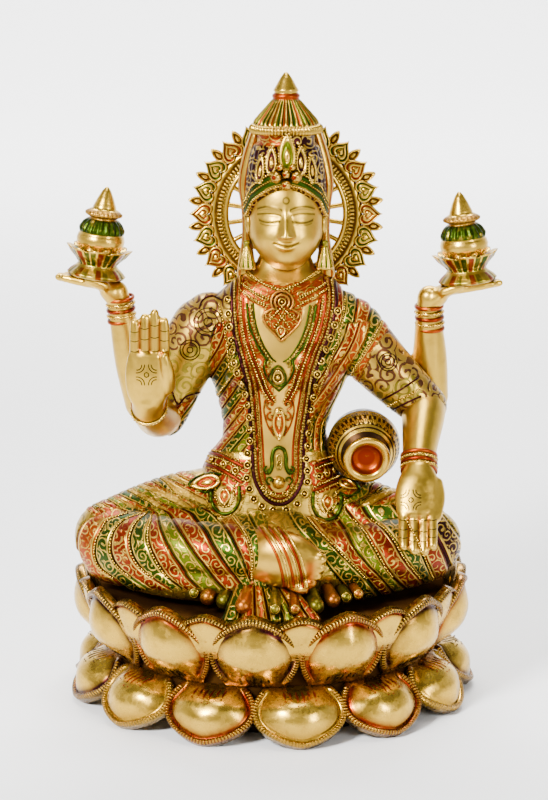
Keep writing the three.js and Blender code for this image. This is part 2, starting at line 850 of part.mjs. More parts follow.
function figure() {
  const pieces = [
    body(),
    stolePanel(),
    ...chestOrnaments(),
    ...head(),
    ...crown(),
    ...frontRightArm(),
    ...frontLeftArm(),
    ...raisedArm({
      side: -1,
      shoulder: at(-36, 12, 142),
      elbow: at(-75, 18, 101),
      wrist: at(-89, 8, 168),
      palm: at(-98, 6, 174),
      tips: at(-123, 3, 181),
      pot: at(-101.5, 6, 177),
      lean: 8,
    }),
    ...raisedArm({
      side: 1,
      shoulder: at(44, 12, 142),
      elbow: at(92, 18, 105),
      wrist: at(90, 8, 166),
      palm: at(102, 6, 170),
      tips: at(131, 3, 177),
      pot: at(113, 6, 174),
      lean: -6.5,
    }),
    tippedPot(),
    ...legs(),
    hem(),
  ];
  // The lap is flat where it rests on the seat, and the knees where they rest on the petals.
  const wide = 4 * rimRadius;
  const belowSeat = solid(
    new THREE.BoxGeometry(wide, wide, seatHeight).translate(0, 0, fit - seatHeight / 2),
  );
  const aroundPetals = turned(
    [
      [0, -seatHeight],
      [wide, -seatHeight],
      [wide, petalRise + fit],
      [kneeReach + 1, petalRise + fit],
      [seatRadius - 1.5, fit],
      [0, fit],
    ],
    48,
  );
  return joined(pieces).subtract(belowSeat).subtract(aroundPetals);
}

// Scene

const brass = new THREE.MeshStandardMaterial({ color: 0xc8a24a, roughness: 0.3, metalness: 1 });
const lacquered = new THREE.MeshStandardMaterial({ color: 0xb06a35, roughness: 0.35, metalness: 0.8 });
const gilded = new THREE.MeshStandardMaterial({ color: 0xcda850, roughness: 0.32, metalness: 1 });

function piece(name, made, material) {
  const mesh = new THREE.Mesh(geometryOf(made), material);
  mesh.name = name;
  return mesh;
}

const statue = new THREE.Group();
statue.add(piece("lotus_base", lotusBase(), brass));

const seated = new THREE.Group();
seated.position.z = seatHeight;
seated.add(piece("lakshmi_figure", figure(), lacquered));
const wheel = piece("halo", halo(), gilded);
wheel.rotation.x = Math.PI / 2;
wheel.position.set(headX, haloBack + fit + haloThickness + haloRelief, haloHeight);
seated.add(wheel);
statue.add(seated);

export default statue;
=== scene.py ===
"""A painted cast brass figure of Lakshmi on a double lotus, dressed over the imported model.

Lengths are in millimetres until a mesh is made. Carving and paint that the photograph shows are placed
by its pixels and laid on the surface that lies behind them.
"""

import math

import bpy
import numpy as np
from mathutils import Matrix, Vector
from mathutils.bvhtree import BVHTree


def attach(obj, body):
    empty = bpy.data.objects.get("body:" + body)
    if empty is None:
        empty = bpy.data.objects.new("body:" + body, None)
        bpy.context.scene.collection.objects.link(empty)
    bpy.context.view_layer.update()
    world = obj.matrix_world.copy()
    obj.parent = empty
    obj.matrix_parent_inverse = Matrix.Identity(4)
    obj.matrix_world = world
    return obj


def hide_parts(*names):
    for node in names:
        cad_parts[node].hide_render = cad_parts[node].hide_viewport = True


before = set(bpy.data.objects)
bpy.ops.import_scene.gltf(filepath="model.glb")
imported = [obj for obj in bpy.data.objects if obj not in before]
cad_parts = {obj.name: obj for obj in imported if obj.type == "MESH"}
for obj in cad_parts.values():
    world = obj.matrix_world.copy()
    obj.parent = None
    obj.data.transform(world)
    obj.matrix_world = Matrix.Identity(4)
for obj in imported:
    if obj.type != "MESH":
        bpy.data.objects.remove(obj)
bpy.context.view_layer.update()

MM = 0.001

# Camera: the photograph's frame is 548 by 800 pixels
PHOTO = (548, 800)
FOCAL_PIXELS = 2500
PITCH = math.radians(12)
DISTANCE = 1450
SENSOR = 36
AIM = np.array([1.2, 0.0, 172.0])
FORWARD = np.array([0.0, math.cos(PITCH), -math.sin(PITCH)])
UPWARD = np.array([0.0, math.sin(PITCH), math.cos(PITCH)])
EYE = AIM - DISTANCE * FORWARD

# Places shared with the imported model
BASE = "lotus_base"
FIGURE = "lakshmi_figure"
HALO = "halo"
SEAT = 66.0
HEAD_X = 8.0

# Colours, linear
GOLD = (0.42, 0.24, 0.016)
PALE_GOLD = (0.60, 0.365, 0.036)
HONEY = (0.78, 0.44, 0.045)
DEEP_GOLD = (0.050, 0.018, 0.001)
RED = (0.165, 0.0125, 0.0005)
ORANGE = (0.27, 0.036, 0.0006)
GREEN = (0.016, 0.038, 0.0004)
LIME = (0.085, 0.105, 0.0010)
PURPLE = (0.024, 0.003, 0.0035)
MAUVE = (0.050, 0.009, 0.008)
UMBER = (0.020, 0.008, 0.002)
BLACK = (0.005, 0.002, 0.001)
# Dark patina in the hollows, laid on as painted shade where the form is shut in
PATINA_AND_SHADE = (0.030, 0.006, 0.002)
# The seat's dark browns: patina, and painted shade under the figure
SEAT_BROWN = (0.085, 0.034, 0.006)
SEAT_DARK = (0.030, 0.010, 0.002)
SKIN_SHADE = (0.10, 0.02, 0.004)
PETAL_SHADE = (0.07, 0.014, 0.003)
# Painted shade towards the petals' edges and roots
PETAL_EDGE_SHADE = (0.17, 0.066, 0.006)


# Small numeric tools


def mix(a, b, t):
    return a + (b - a) * t


def smooth(low, high, x):
    t = np.clip((x - low) / (high - low), 0, 1)
    return t * t * (3 - 2 * t)


def bell(x, width):
    return np.exp(-((x / width) ** 2))


def rotated(a, b, angle):
    """Two coordinates after a turn that carries the first towards the second."""
    c, s = math.cos(angle), math.sin(angle)
    return a * c - b * s, a * s + b * c


def spline(points, count):
    """A smooth line through the points, as count evenly spread places."""
    p = np.array(points, float)
    ends = np.vstack([2 * p[0] - p[1], p, 2 * p[-1] - p[-2]])
    fine = []
    for i in range(len(p) - 1):
        a, b, c, d = ends[i : i + 4]
        t = np.linspace(0, 1, 24, endpoint=False)[:, None]
        fine.append(
            0.5 * (2 * b + (c - a) * t + (2 * a - 5 * b + 4 * c - d) * t**2 + (3 * b - a - 3 * c + d) * t**3)
        )
    fine.append(p[-1:])
    fine = np.vstack(fine)
    run = np.concatenate([[0], np.cumsum(np.linalg.norm(np.diff(fine, axis=0), axis=1))])
    wanted = np.linspace(0, run[-1], count)
    return np.stack([np.interp(wanted, run, fine[:, k]) for k in range(p.shape[1])], axis=1)


def length_of(points):
    p = np.array(points, float)
    return float(np.linalg.norm(np.diff(p, axis=0), axis=1).sum())


def seen(points):
    """The photograph's pixels in which these places show."""
    q = np.asarray(points, float) - EYE
    depth = q @ FORWARD
    return PHOTO[0] / 2 + FOCAL_PIXELS * q[:, 0] / depth, PHOTO[1] / 2 - FOCAL_PIXELS * (q @ UPWARD) / depth


def sight(px, py):
    """The direction from the camera through a pixel."""
    v = FORWARD * FOCAL_PIXELS + np.array([1.0, 0, 0]) * (px - PHOTO[0] / 2) + UPWARD * (PHOTO[1] / 2 - py)
    return v / np.linalg.norm(v)


def place_at(px, py, y):
    """The place behind a pixel whose depth from front to back is y."""
    d = sight(px, py)
    return EYE + d * (y - EYE[1]) / d[1]


# Mesh tools


def grid_faces(rows, columns, close_rows=False, close_columns=False):
    j = np.arange(rows if close_rows else rows - 1)
    i = np.arange(columns if close_columns else columns - 1)
    jj, ii = np.meshgrid(j, i, indexing="ij")
    a = jj * columns + ii
    b = jj * columns + (ii + 1) % columns
    c = ((jj + 1) % rows) * columns + (ii + 1) % columns
    d = ((jj + 1) % rows) * columns + ii
    return np.stack([a, b, c, d], axis=-1).reshape(-1, 4)


class Shell:
    """Points and faces in millimetres, gathered from many forms, with values kept for every point."""

    def __init__(self):
        self.points = []
        self.quads = []
        self.triangles = []
        self.values = {}
        self.count = 0

    def add(self, points, quads=(), triangles=(), **values):
        points = np.asarray(points, float)
        self.points.append(points)
        if len(quads):
            self.quads.append(np.asarray(quads) + self.count)
        if len(triangles):
            self.triangles.append(np.asarray(triangles) + self.count)
        for name, value in values.items():
            value = np.asarray(value, float)
            if value.ndim == 0 or (value.ndim == 1 and name == "paint"):
                value = np.broadcast_to(value, (len(points),) + value.shape)
            self.values.setdefault(name, []).append((self.count, value))
        self.count += len(points)
        return self

    def make(self, name, material, node):
        points = np.vstack(self.points)
        faces = []
        if self.quads:
            faces += np.vstack(self.quads).tolist()
        if self.triangles:
            faces += np.vstack(self.triangles).tolist()
        mesh = bpy.data.meshes.new(name)
        mesh.from_pydata((points * MM).tolist(), [], faces)
        for key, parts in self.values.items():
            colour = key == "paint"
            full = np.zeros((self.count, 4) if colour else self.count)
            if key == "band":
                full -= 1
            for start, value in parts:
                full[start : start + len(value)] = value
            kind = "FLOAT_COLOR" if colour else "FLOAT"
            layer = mesh.attributes.new(key, kind, "POINT")
            layer.data.foreach_set("color" if colour else "value", full.ravel())
        mesh.validate()
        return finish_mesh(name, mesh, material)


def finish_mesh(name, mesh, material):
    mesh.materials.append(material)
    mesh.polygons.foreach_set("use_smooth", [True] * len(mesh.polygons))
    thing = bpy.data.objects.new(name, mesh)
    bpy.context.scene.collection.objects.link(thing)
    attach(thing, "root")
    return thing


def rings_to_shell(rings):
    """Points and faces of a stack of closed rings, closed at both ends."""
    rows, columns = rings.shape[:2]
    points = np.vstack([rings.reshape(-1, 3), rings[0].mean(0), rings[-1].mean(0)])
    quads = grid_faces(rows, columns, close_columns=True)
    i = np.arange(columns)
    k = (i + 1) % columns
    first = np.stack([k, i, np.full(columns, rows * columns)], axis=1)
    last_row = (rows - 1) * columns
    last = np.stack([last_row + i, last_row + k, np.full(columns, rows * columns + 1)], axis=1)
    return points, quads, np.vstack([first, last])


def tube(places, across=(1.0, 0.0, 0.0), steps=40, sides=40):
    """A limb through [x, y, z, width, depth] places, with rounded ends."""
    p = spline(places, steps)
    centre, wide, deep = p[:, :3], p[:, 3], p[:, 4]
    heading = np.gradient(centre, axis=0)
    heading /= np.linalg.norm(heading, axis=1)[:, None]
    side = np.cross(heading, np.array(across, float))
    side /= np.linalg.norm(side, axis=1)[:, None]
    broad = np.cross(side, heading)
    turn = np.linspace(0, 2 * math.pi, sides, endpoint=False)

    def ring(k, push, shrink):
        out = np.cos(turn)[:, None] * broad[k] * wide[k] + np.sin(turn)[:, None] * side[k] * deep[k]
        return centre[k] + heading[k] * push + shrink * out

    caps = [0.15, 0.35, 0.6, 0.8, 0.93]
    rings = [ring(0, -min(wide[0], deep[0]) * math.sqrt(1 - s * s), s) for s in caps]
    rings += [ring(k, 0, 1) for k in range(len(centre))]
    rings += [ring(-1, min(wide[-1], deep[-1]) * math.sqrt(1 - s * s), s) for s in reversed(caps)]
    return np.array(rings)


def ellipsoid(centre, radii, around=40, over=24):
    """A stack of level rings."""
    t = np.linspace(0, 2 * math.pi, around, endpoint=False)
    rings = []
    for s in np.linspace(0.02, math.pi - 0.02, over):
        level = -np.cos(s) * np.ones(around)
        rings.append(np.stack([np.sin(s) * np.cos(t), np.sin(s) * np.sin(t), level], axis=1))
    return np.array(rings) * np.array(radii) + np.array(centre)


def fuse(stacks, voxel, rounds):
    """One skin round many overlapping forms, softened where they meet: its points and faces."""
    shell = Shell()
    for rings in stacks:
        shell.add(*rings_to_shell(rings))
    mesh = bpy.data.meshes.new("raw")
    faces = np.vstack(shell.quads).tolist() + np.vstack(shell.triangles).tolist()
    mesh.from_pydata((np.vstack(shell.points) * MM).tolist(), [], faces)
    raw = bpy.data.objects.new("raw", mesh)
    bpy.context.scene.collection.objects.link(raw)
    remesh = raw.modifiers.new("skin", "REMESH")
    remesh.mode = "VOXEL"
    remesh.voxel_size = voxel * MM
    soften = raw.modifiers.new("soften", "SMOOTH")
    soften.factor = 0.5
    soften.iterations = rounds
    graph = bpy.context.evaluated_depsgraph_get()
    skin = bpy.data.meshes.new_from_object(raw.evaluated_get(graph))
    points = np.zeros(len(skin.vertices) * 3)
    skin.vertices.foreach_get("co", points)
    normals = np.zeros(len(skin.vertices) * 3)
    skin.vertices.foreach_get("normal", normals)
    corners = np.zeros(len(skin.loops), int)
    skin.loops.foreach_get("vertex_index", corners)
    sizes = np.zeros(len(skin.polygons), int)
    skin.polygons.foreach_get("loop_total", sizes)
    assert (sizes == 4).all()
    bpy.data.objects.remove(raw)
    bpy.data.meshes.remove(mesh)
    bpy.data.meshes.remove(skin)
    return points.reshape(-1, 3) / MM, normals.reshape(-1, 3), corners.reshape(-1, 4)


class Surface:
    """Where the lines of sight meet the figure, for laying ornaments on it."""

    def __init__(self, parts):
        points = np.vstack([p for p, _ in parts])
        faces = []
        start = 0
        for p, quads in parts:
            faces += (np.asarray(quads) + start).tolist()
            start += len(p)
        self.tree = BVHTree.FromPolygons(points.tolist(), faces)

    def hit(self, px, py):
        place, normal, _, _ = self.tree.ray_cast(Vector(EYE), Vector(sight(px, py)))
        if place is None:
            return None
        normal = np.array(normal)
        if normal @ FORWARD > 0:
            normal = -normal
        return np.array(place), normal

    def trace(self, pixels):
        found = [self.hit(px, py) for px, py in pixels]
        found = [f for f in found if f is not None]
        return np.array([f[0] for f in found]), np.array([f[1] for f in found])


def bead_form(rows, columns):
    """Points and triangles of a small ball."""
    points = [[0, 0, -1.0]]
    for j in range(1, rows):
        s = math.pi * j / rows
        for i in range(columns):
            t = 2 * math.pi * (i + 0.5 * (j % 2)) / columns
            points.append([math.sin(s) * math.cos(t), math.sin(s) * math.sin(t), -math.cos(s)])
    points.append([0, 0, 1.0])
    triangles = []
    top = len(points) - 1
    for i in range(columns):
        k = (i + 1) % columns
        triangles.append([0, 1 + k, 1 + i])
        triangles.append([top, top - columns + i, top - columns + k])
        for j in range(rows - 2):
            a, b = 1 + j * columns + i, 1 + j * columns + k
            triangles += [[a, b, b + columns], [a, b + columns, a + columns]]
    return np.array(points), np.array(triangles)


BEAD_POINTS, BEAD_TRIANGLES = bead_form(rows=4, columns=8)


def frame_of(normal):
    n = normal / np.linalg.norm(normal)
    side = np.cross(np.array([0.0, 0.0, 1.0]), n)
    if np.linalg.norm(side) < 1e-3:
        side = np.array([1.0, 0, 0])
    side /= np.linalg.norm(side)
    return side, np.cross(n, side), n


def add_bead(shell, place, normal, radius, height, **values):
    side, up, n = frame_of(normal)
    x, y, z = BEAD_POINTS.T[:, :, None]
    spread = x * side * radius + y * up * radius + z * n * height
    shell.add(spread + place, triangles=BEAD_TRIANGLES, **values)


def bead_row(shell, surface, pixels, pitch, radius, lift=0.3, **values):
    """Beads laid every pitch millimetres along a line drawn in the photograph's pixels."""
    line = spline(pixels, max(12, int(length_of(pixels) * 1.5)))
    places, normals = surface.trace(line)
    if len(places) < 2:
        return
    steps = np.linalg.norm(np.diff(places, axis=0), axis=1)
    run = np.concatenate([[0], np.cumsum(np.minimum(steps, 3.0))])
    for s in np.arange(pitch / 2, run[-1], pitch):
        k = np.searchsorted(run, s)
        add_bead(shell, places[k] + normals[k] * lift, normals[k], radius, radius * 0.8, **values)


def cord_on(shell, surface, pixels, width, height, lift=0.0, **values):
    """A raised band laid along a line drawn in the photograph's pixels."""
    line = spline(pixels, max(8, int(length_of(pixels) / 1.5)))
    places, normals = surface.trace(line)
    if len(places) < 3:
        return
    heading = np.gradient(places, axis=0)
    heading /= np.linalg.norm(heading, axis=1)[:, None] + 1e-9
    side = np.cross(heading, normals)
    side /= np.linalg.norm(side, axis=1)[:, None] + 1e-9
    section = [(-1.0, -0.8), (-0.85, 0.5), (0, 1.0), (0.85, 0.5), (1.0, -0.8)]
    rings = np.array(
        [
            [p + s * a * width + n * (lift + b * height) for a, b in section]
            for p, n, s in zip(places, normals, side)
        ]
    )
    shell.add(*rings_to_shell(rings), **values)


# Materials


class Nodes:
    """Short names for making a material's nodes."""

    def __init__(self, name):
        self.material = bpy.data.materials.new(name)
        self.material.use_nodes = True
        self.tree = self.material.node_tree
        self.tree.nodes.clear()
        self.out = self.tree.nodes.new("ShaderNodeOutputMaterial")
        self.shader = self.tree.nodes.new("ShaderNodeBsdfPrincipled")
        self.link(self.shader.outputs[0], self.out.inputs[0])

    def link(self, a, b):
        self.tree.links.new(a, b)

    def node(self, kind, **settings):
        n = self.tree.nodes.new("ShaderNode" + kind)
        for key, value in settings.items():
            setattr(n, key, value)
        return n

    def feed(self, socket, value):
        if isinstance(value, bpy.types.NodeSocket):
            self.link(value, socket)
        elif isinstance(value, tuple):
            opaque = len(value) == 3 and len(socket.default_value) == 4
            socket.default_value = (*value, 1) if opaque else value
        else:
            socket.default_value = value

    def math(self, operation, *values, clamp=False):
        n = self.node("Math", operation=operation, use_clamp=clamp)
        for i, value in enumerate(values):
            self.feed(n.inputs[i], value)
        return n.outputs[0]

    def ramp(self, value, low, high, to_low=0.0, to_high=1.0):
        n = self.node("MapRange", interpolation_type="SMOOTHSTEP")
        for i, v in enumerate([value, low, high, to_low, to_high]):
            self.feed(n.inputs[i], v)
        return n.outputs[0]

    def mix(self, factor, a, b):
        n = self.node("Mix", data_type="RGBA")
        self.feed(n.inputs["Factor"], factor)
        self.feed(n.inputs[6], a)
        self.feed(n.inputs[7], b)
        return n.outputs[2]

    def attribute(self, name):
        return self.node("Attribute", attribute_name=name, attribute_type="GEOMETRY")

    def place(self):
        """The place on the piece, in millimetres."""
        coordinates = self.node("TexCoord").outputs["Object"]
        n = self.node("VectorMath", operation="SCALE")
        self.link(coordinates, n.inputs[0])
        n.inputs["Scale"].default_value = 1 / MM
        return n.outputs[0]

    def noise(self, vector, scale, detail=2.0, roughness=0.5):
        n = self.node("TexNoise")
        self.link(vector, n.inputs["Vector"])
        n.inputs["Scale"].default_value = scale
        n.inputs["Detail"].default_value = detail
        n.inputs["Roughness"].default_value = roughness
        return n.outputs[0]

    def bump(self, height, distance):
        n = self.node("Bump")
        n.inputs["Strength"].default_value = 1.0
        n.inputs["Distance"].default_value = distance * MM
        self.link(height, n.inputs["Height"])
        return n.outputs[0]


def tarnish(n, gold, deep, amount=0.4):
    """Brass that is slightly uneven in tone all over."""
    spots = n.noise(n.place(), 0.09, 4.0, 0.6)
    return n.mix(n.ramp(spots, 0.45, 0.8, 0.0, amount), gold, deep)


def brass(name, roughness):
    """Bare polished brass with soft casting unevenness, a few pits and painted shade where the form is shut
    in.
    """
    n = Nodes(name)
    # Painted shade: black where the form is shut in
    base = shaded(n, tarnish(n, PALE_GOLD, DEEP_GOLD), BLACK, 0.9)
    n.feed(n.shader.inputs["Base Color"], base)
    n.shader.inputs["Metallic"].default_value = 1.0
    worn = n.noise(n.place(), 0.35, 3.0)
    n.link(n.ramp(worn, 0.35, 0.7, roughness, roughness + 0.14), n.shader.inputs["Roughness"])
    n.link(n.bump(n.noise(n.place(), 0.25, 3.0), 0.12), n.shader.inputs["Normal"])
    return n.material


def crevices(n, distance):
    """One in the open, falling to nothing where the form is shut in."""
    ao = n.node("AmbientOcclusion", samples=6)
    ao.inputs["Distance"].default_value = distance * MM
    return n.ramp(ao.outputs["AO"], 0.25, 0.85)


def shaded(n, base, colour, amount, distance=2.5):
    """The base colour, turning to another where the form is shut in, as painted shade in hollows and between
    parts.
    """
    shut = n.math("SUBTRACT", 1.0, crevices(n, distance))
    return n.mix(n.math("MULTIPLY", shut, amount), base, colour)


def scrollwork(n, place, cell, pitch):
    """Curling lines, a curl to every cell: a wave from minus one to one across each line."""
    flat = n.node("VectorMath", operation="MULTIPLY")
    n.link(place, flat.inputs[0])
    flat.inputs[1].default_value = (1.0, 0.5, 1.0)
    cells = n.node("TexVoronoi")
    n.link(flat.outputs[0], cells.inputs["Vector"])
    cells.inputs["Scale"].default_value = 1 / cell
    cells.inputs["Randomness"].default_value = 0.75
    away = n.node("VectorMath", operation="SUBTRACT")
    n.link(flat.outputs[0], away.inputs[0])
    n.link(cells.outputs["Position"], away.inputs[1])
    split = n.node("SeparateXYZ")
    n.link(away.outputs[0], split.inputs[0])
    turn = n.math("ARCTAN2", split.outputs["Z"], split.outputs["X"])
    chance = n.node("SeparateColor")
    n.link(cells.outputs["Color"], chance.inputs[0])
    hand = n.math("SUBTRACT", n.math("MULTIPLY", n.math("GREATER_THAN", chance.outputs[0], 0.5), 2.0), 1.0)
    rings = n.math("MULTIPLY", cells.outputs["Distance"], 2 * math.pi * cell / pitch)
    phase = n.math("ADD", rings, n.math("MULTIPLY", turn, hand))
    wander = n.math("MULTIPLY", n.noise(place, 0.3, 1.0), 3.0)
    return n.math("SINE", n.math("ADD", phase, wander))


def painted(name, roughness=0.3):
    """Chased brass: lacquer in the ground of the bands, and incised curls where there are no bands.

    The attributes are paint (colour, and how much of it), band (which cloth band and how far across it,
    or less than zero for none) and chase (how deep the chasing is).
    """
    n = Nodes(name)
    paint = n.attribute("paint")
    band = n.attribute("band").outputs["Fac"]
    chased_here = n.attribute("chase").outputs["Fac"]
    inside = n.math("GREATER_THAN", band, 0.0)
    outside = n.math("SUBTRACT", 1.0, inside)
    part = n.math("FRACT", band)
    edge = n.math("MINIMUM", part, n.math("SUBTRACT", 1.0, part))
    border = n.math(
        "MULTIPLY", n.ramp(n.math("ABSOLUTE", n.math("SUBTRACT", edge, 0.16)), 0.06, 0.02), inside
    )
    gap = n.math("MULTIPLY", n.ramp(edge, 0.07, 0.0), inside)
    middle = n.ramp(edge, 0.17, 0.24)
    place = n.place()
    in_band = n.math(
        "MULTIPLY", n.ramp(scrollwork(n, place, 6.4, 2.3), 0.3, 0.9), n.math("MULTIPLY", inside, middle)
    )
    in_open = n.math("MULTIPLY", n.ramp(scrollwork(n, place, 9.0, 3.3), 0.05, 0.55), outside)
    lines = n.math("MULTIPLY", in_band, chased_here)
    curls = n.math("MULTIPLY", in_open, chased_here)
    relief = n.math("SUBTRACT", n.math("MAXIMUM", lines, n.math("MULTIPLY", border, 1.2)), curls)
    height = n.math("SUBTRACT", relief, n.math("MULTIPLY", gap, 1.4))
    raised = n.math("MAXIMUM", n.math("MULTIPLY", lines, 0.75), n.math("MULTIPLY", border, 0.9), clamp=True)
    worn = n.ramp(n.noise(place, 0.16, 3.0), 0.5, 0.8, 0.0, 0.6)
    ground = n.math("MULTIPLY", n.math("SUBTRACT", 1.0, raised), n.math("SUBTRACT", 1.0, worn))
    ground = n.math(
        "MULTIPLY", n.ramp(n.math("MULTIPLY", ground, paint.outputs["Alpha"]), 0.15, 0.75), inside
    )
    filled = n.math("MULTIPLY", n.math("ADD", n.math("MULTIPLY", curls, 0.66), 0.34), paint.outputs["Alpha"])
    cover = n.math("ADD", ground, n.math("MULTIPLY", filled, outside))
    base = n.mix(cover, tarnish(n, PALE_GOLD, DEEP_GOLD), paint.outputs["Color"])
    base = n.mix(n.math("MULTIPLY", gap, 0.8), base, BLACK)
    # Patina and painted shade where the form is shut in
    n.feed(n.shader.inputs["Base Color"], shaded(n, base, PATINA_AND_SHADE, 0.95))
    n.shader.inputs["Metallic"].default_value = 0.93
    n.link(n.ramp(cover, 0.0, 1.0, roughness, roughness + 0.1), n.shader.inputs["Roughness"])
    n.link(n.bump(height, 0.5), n.shader.inputs["Normal"])
    return n.material


def lacquered(name, roughness=0.26, reach=1.8, shut_in=1.0):
    """Ornaments: brass with each point's own lacquer, and dark patina with painted shade where the form is
    shut in.
    """
    n = Nodes(name)
    paint = n.attribute("paint")
    worn = n.ramp(n.noise(n.place(), 0.25, 3.0), 0.5, 0.8, 1.0, 0.6)
    cover = n.ramp(n.math("MULTIPLY", paint.outputs["Alpha"], worn), 0.08, 0.8)
    base = n.mix(cover, tarnish(n, PALE_GOLD, DEEP_GOLD), paint.outputs["Color"])
    # Patina and painted shade where the form is shut in
    n.feed(n.shader.inputs["Base Color"], shaded(n, base, PATINA_AND_SHADE, shut_in, reach))
    n.shader.inputs["Metallic"].default_value = 0.95
    n.link(n.ramp(cover, 0.0, 1.0, roughness, roughness + 0.12), n.shader.inputs["Roughness"])
    n.link(n.bump(n.noise(n.place(), 0.5, 3.0), 0.12), n.shader.inputs["Normal"])
    return n.material


def seat_material():
    """Unpolished brass whose dull dark brown is partly patina and partly painted shade under the figure,
    darker still where the cloth shades it.
    """
    n = Nodes("seat_brass")
    uneven = n.noise(n.place(), 0.06, 4.0, 0.6)
    base = n.mix(n.ramp(uneven, 0.35, 0.75), SEAT_BROWN, SEAT_DARK)
    n.feed(n.shader.inputs["Base Color"], shaded(n, base, BLACK, 0.9, 22.0))
    n.shader.inputs["Metallic"].default_value = 0.0
    n.shader.inputs["Specular IOR Level"].default_value = 0.0
    n.link(n.ramp(uneven, 0.3, 0.8, 0.6, 0.85), n.shader.inputs["Roughness"])
    return n.material


def plain(name, colour, roughness=0.5):
    n = Nodes(name)
    n.shader.inputs["Base Color"].default_value = (*colour, 1)
    n.shader.inputs["Roughness"].default_value = roughness
    return n.material


seat_brass = seat_material()
chased = painted("chased_lacquer")
coloured = lacquered("coloured_brass")
gilt = lacquered("gilt_brass", reach=1.0, shut_in=0.6)
bead_gold = brass("bead_brass", 0.24)


def coat(colour, amount=1.0):
    return np.array([*colour, amount])


# Camera, light and floor


def set_camera():
    camera = bpy.data.objects.new("camera", bpy.data.cameras.new("camera"))
    bpy.context.scene.collection.objects.link(camera)
    camera.data.sensor_fit = "AUTO"
    camera.data.sensor_width = SENSOR
    camera.data.lens = SENSOR * FOCAL_PIXELS / PHOTO[1]
    camera.data.clip_start = 0.05
    camera.data.clip_end = 50
    camera.location = Vector(EYE * MM)
    camera.rotation_euler = (math.pi / 2 - PITCH, 0, 0)
    bpy.context.scene.camera = camera


def set_stage():
    """A round pale floor that sweeps up to a wall far outside every view."""
    flat, sweep, rise, sides = 3.5, 2.5, 1.5, 72
    profile = [(0.01, 0.0), (0.5, 0.0), (flat, 0.0)]
    for k in range(1, 11):
        a = math.pi / 2 * k / 10
        profile.append((flat + sweep * math.sin(a), sweep * (1 - math.cos(a))))
    profile.append((flat + sweep, sweep + rise))
    turn = np.linspace(0, 2 * math.pi, sides, endpoint=False)
    points = np.array([[(r * math.cos(a), r * math.sin(a), z) for a in turn] for r, z in profile])
    floor = bpy.data.meshes.new("floor")
    faces = grid_faces(len(profile), sides, close_columns=True).tolist() + [list(range(sides))[::-1]]
    floor.from_pydata(points.reshape(-1, 3).tolist(), [], faces)
    floor.polygons.foreach_set("use_smooth", [True] * len(floor.polygons))
    floor.materials.append(plain("pale_floor", (0.90, 0.90, 0.90), 0.7))
    thing = bpy.data.objects.new("floor", floor)
    bpy.context.scene.collection.objects.link(thing)


# Lamps: place and size in metres, power in watts, spread in degrees and what they face
LAMPS = {
    "key": ((-0.95, -1.35, 1.15), (0.42, 0.42), 10.5, 55, (0, 0, 0.18)),
    "fill": ((1.15, -1.25, 0.55), (0.25, 0.8), 2.5, 60, (0, 0, 0.18)),
    "top": ((0.1, -0.1, 1.7), (0.8, 0.5), 4, 80, (0, 0, 0.18)),
    "backdrop": ((0.0, 2.4, 3.2), (3.0, 1.2), 620, 180, (0, 4.2, 0.0)),
}
# The room is brightest above and behind
ROOM_BRIGHT_SIDE = (0.0, 0.42, 0.86)
ROOM_DARK = (0.06, 0.055, 0.05, 1)
ROOM_BRIGHT = (1.0, 1.0, 1.0, 1)
ROOM_STRENGTH = 0.38


def set_lights():
    for name, (place, size, power, spread, target) in LAMPS.items():
        light = bpy.data.lights.new(name, "AREA")
        light.shape = "RECTANGLE"
        light.size, light.size_y = size
        light.energy = power
        light.spread = math.radians(spread)
        thing = bpy.data.objects.new(name, light)
        bpy.context.scene.collection.objects.link(thing)
        thing.location = place
        away = Vector(place) - Vector(target)
        thing.rotation_euler = away.to_track_quat("Z", "Y").to_euler()

    world = bpy.data.worlds.new("room")
    bpy.context.scene.world = world
    world.use_nodes = True
    tree = world.node_tree
    shade = tree.nodes["Background"]
    direction = tree.nodes.new("ShaderNodeTexCoord")
    height = tree.nodes.new("ShaderNodeVectorMath")
    height.operation = "DOT_PRODUCT"
    height.inputs[1].default_value = ROOM_BRIGHT_SIDE
    tree.links.new(direction.outputs["Generated"], height.inputs[0])
    ramp = tree.nodes.new("ShaderNodeValToRGB")
    tree.links.new(height.outputs["Value"], ramp.inputs[0])
    stops = ramp.color_ramp.elements
    stops[0].position, stops[0].color = 0.2, ROOM_DARK
    stops[1].position, stops[1].color = 0.85, ROOM_BRIGHT
    tree.links.new(ramp.outputs[0], shade.inputs[0])
    shade.inputs[1].default_value = ROOM_STRENGTH


# Lotus base

PETALS = 13
UPPER_TURN = math.radians(-5.4)
RIM = 114.0
WAIST = (RIM - 15.5, 30.0)
UPPER_TIP = (RIM, SEAT + 8.0)
LOWER_TIP = (RIM + 5.0, 2.0)
SHELL = 4.0


def petal_outline(count):
    """(u, v) round a petal: up its left side, over the point, down its right side, back along the root.

    With each place comes how far it belongs to the root.
    """
    v = 1 - (1 - np.linspace(0, 1, count // 2)) ** 1.4
    widest = 0.46
    low = 0.66 + 0.34 * np.sin(math.pi / 2 * np.clip(v / widest, 0, 1))
    high = np.clip(1 - (np.clip(v - widest, 0, 1) / (1 - widest)) ** 2, 0, 1) ** 0.66
    u = np.where(v < widest, low, high)
    sides = np.concatenate([np.stack([-u, v], 1), np.stack([u, v], 1)[::-1][1:]])
    across = np.linspace(low[0], -low[0], count // 5)[1:-1]
    root = np.stack([across, 0 * across], 1)
    at_root = 1 - smooth(0.0, 0.1, sides[:, 1])
    return np.vstack([sides, root]), np.concatenate([at_root, np.ones(len(root))])


PETAL_CENTRE = (0.0, 0.44)


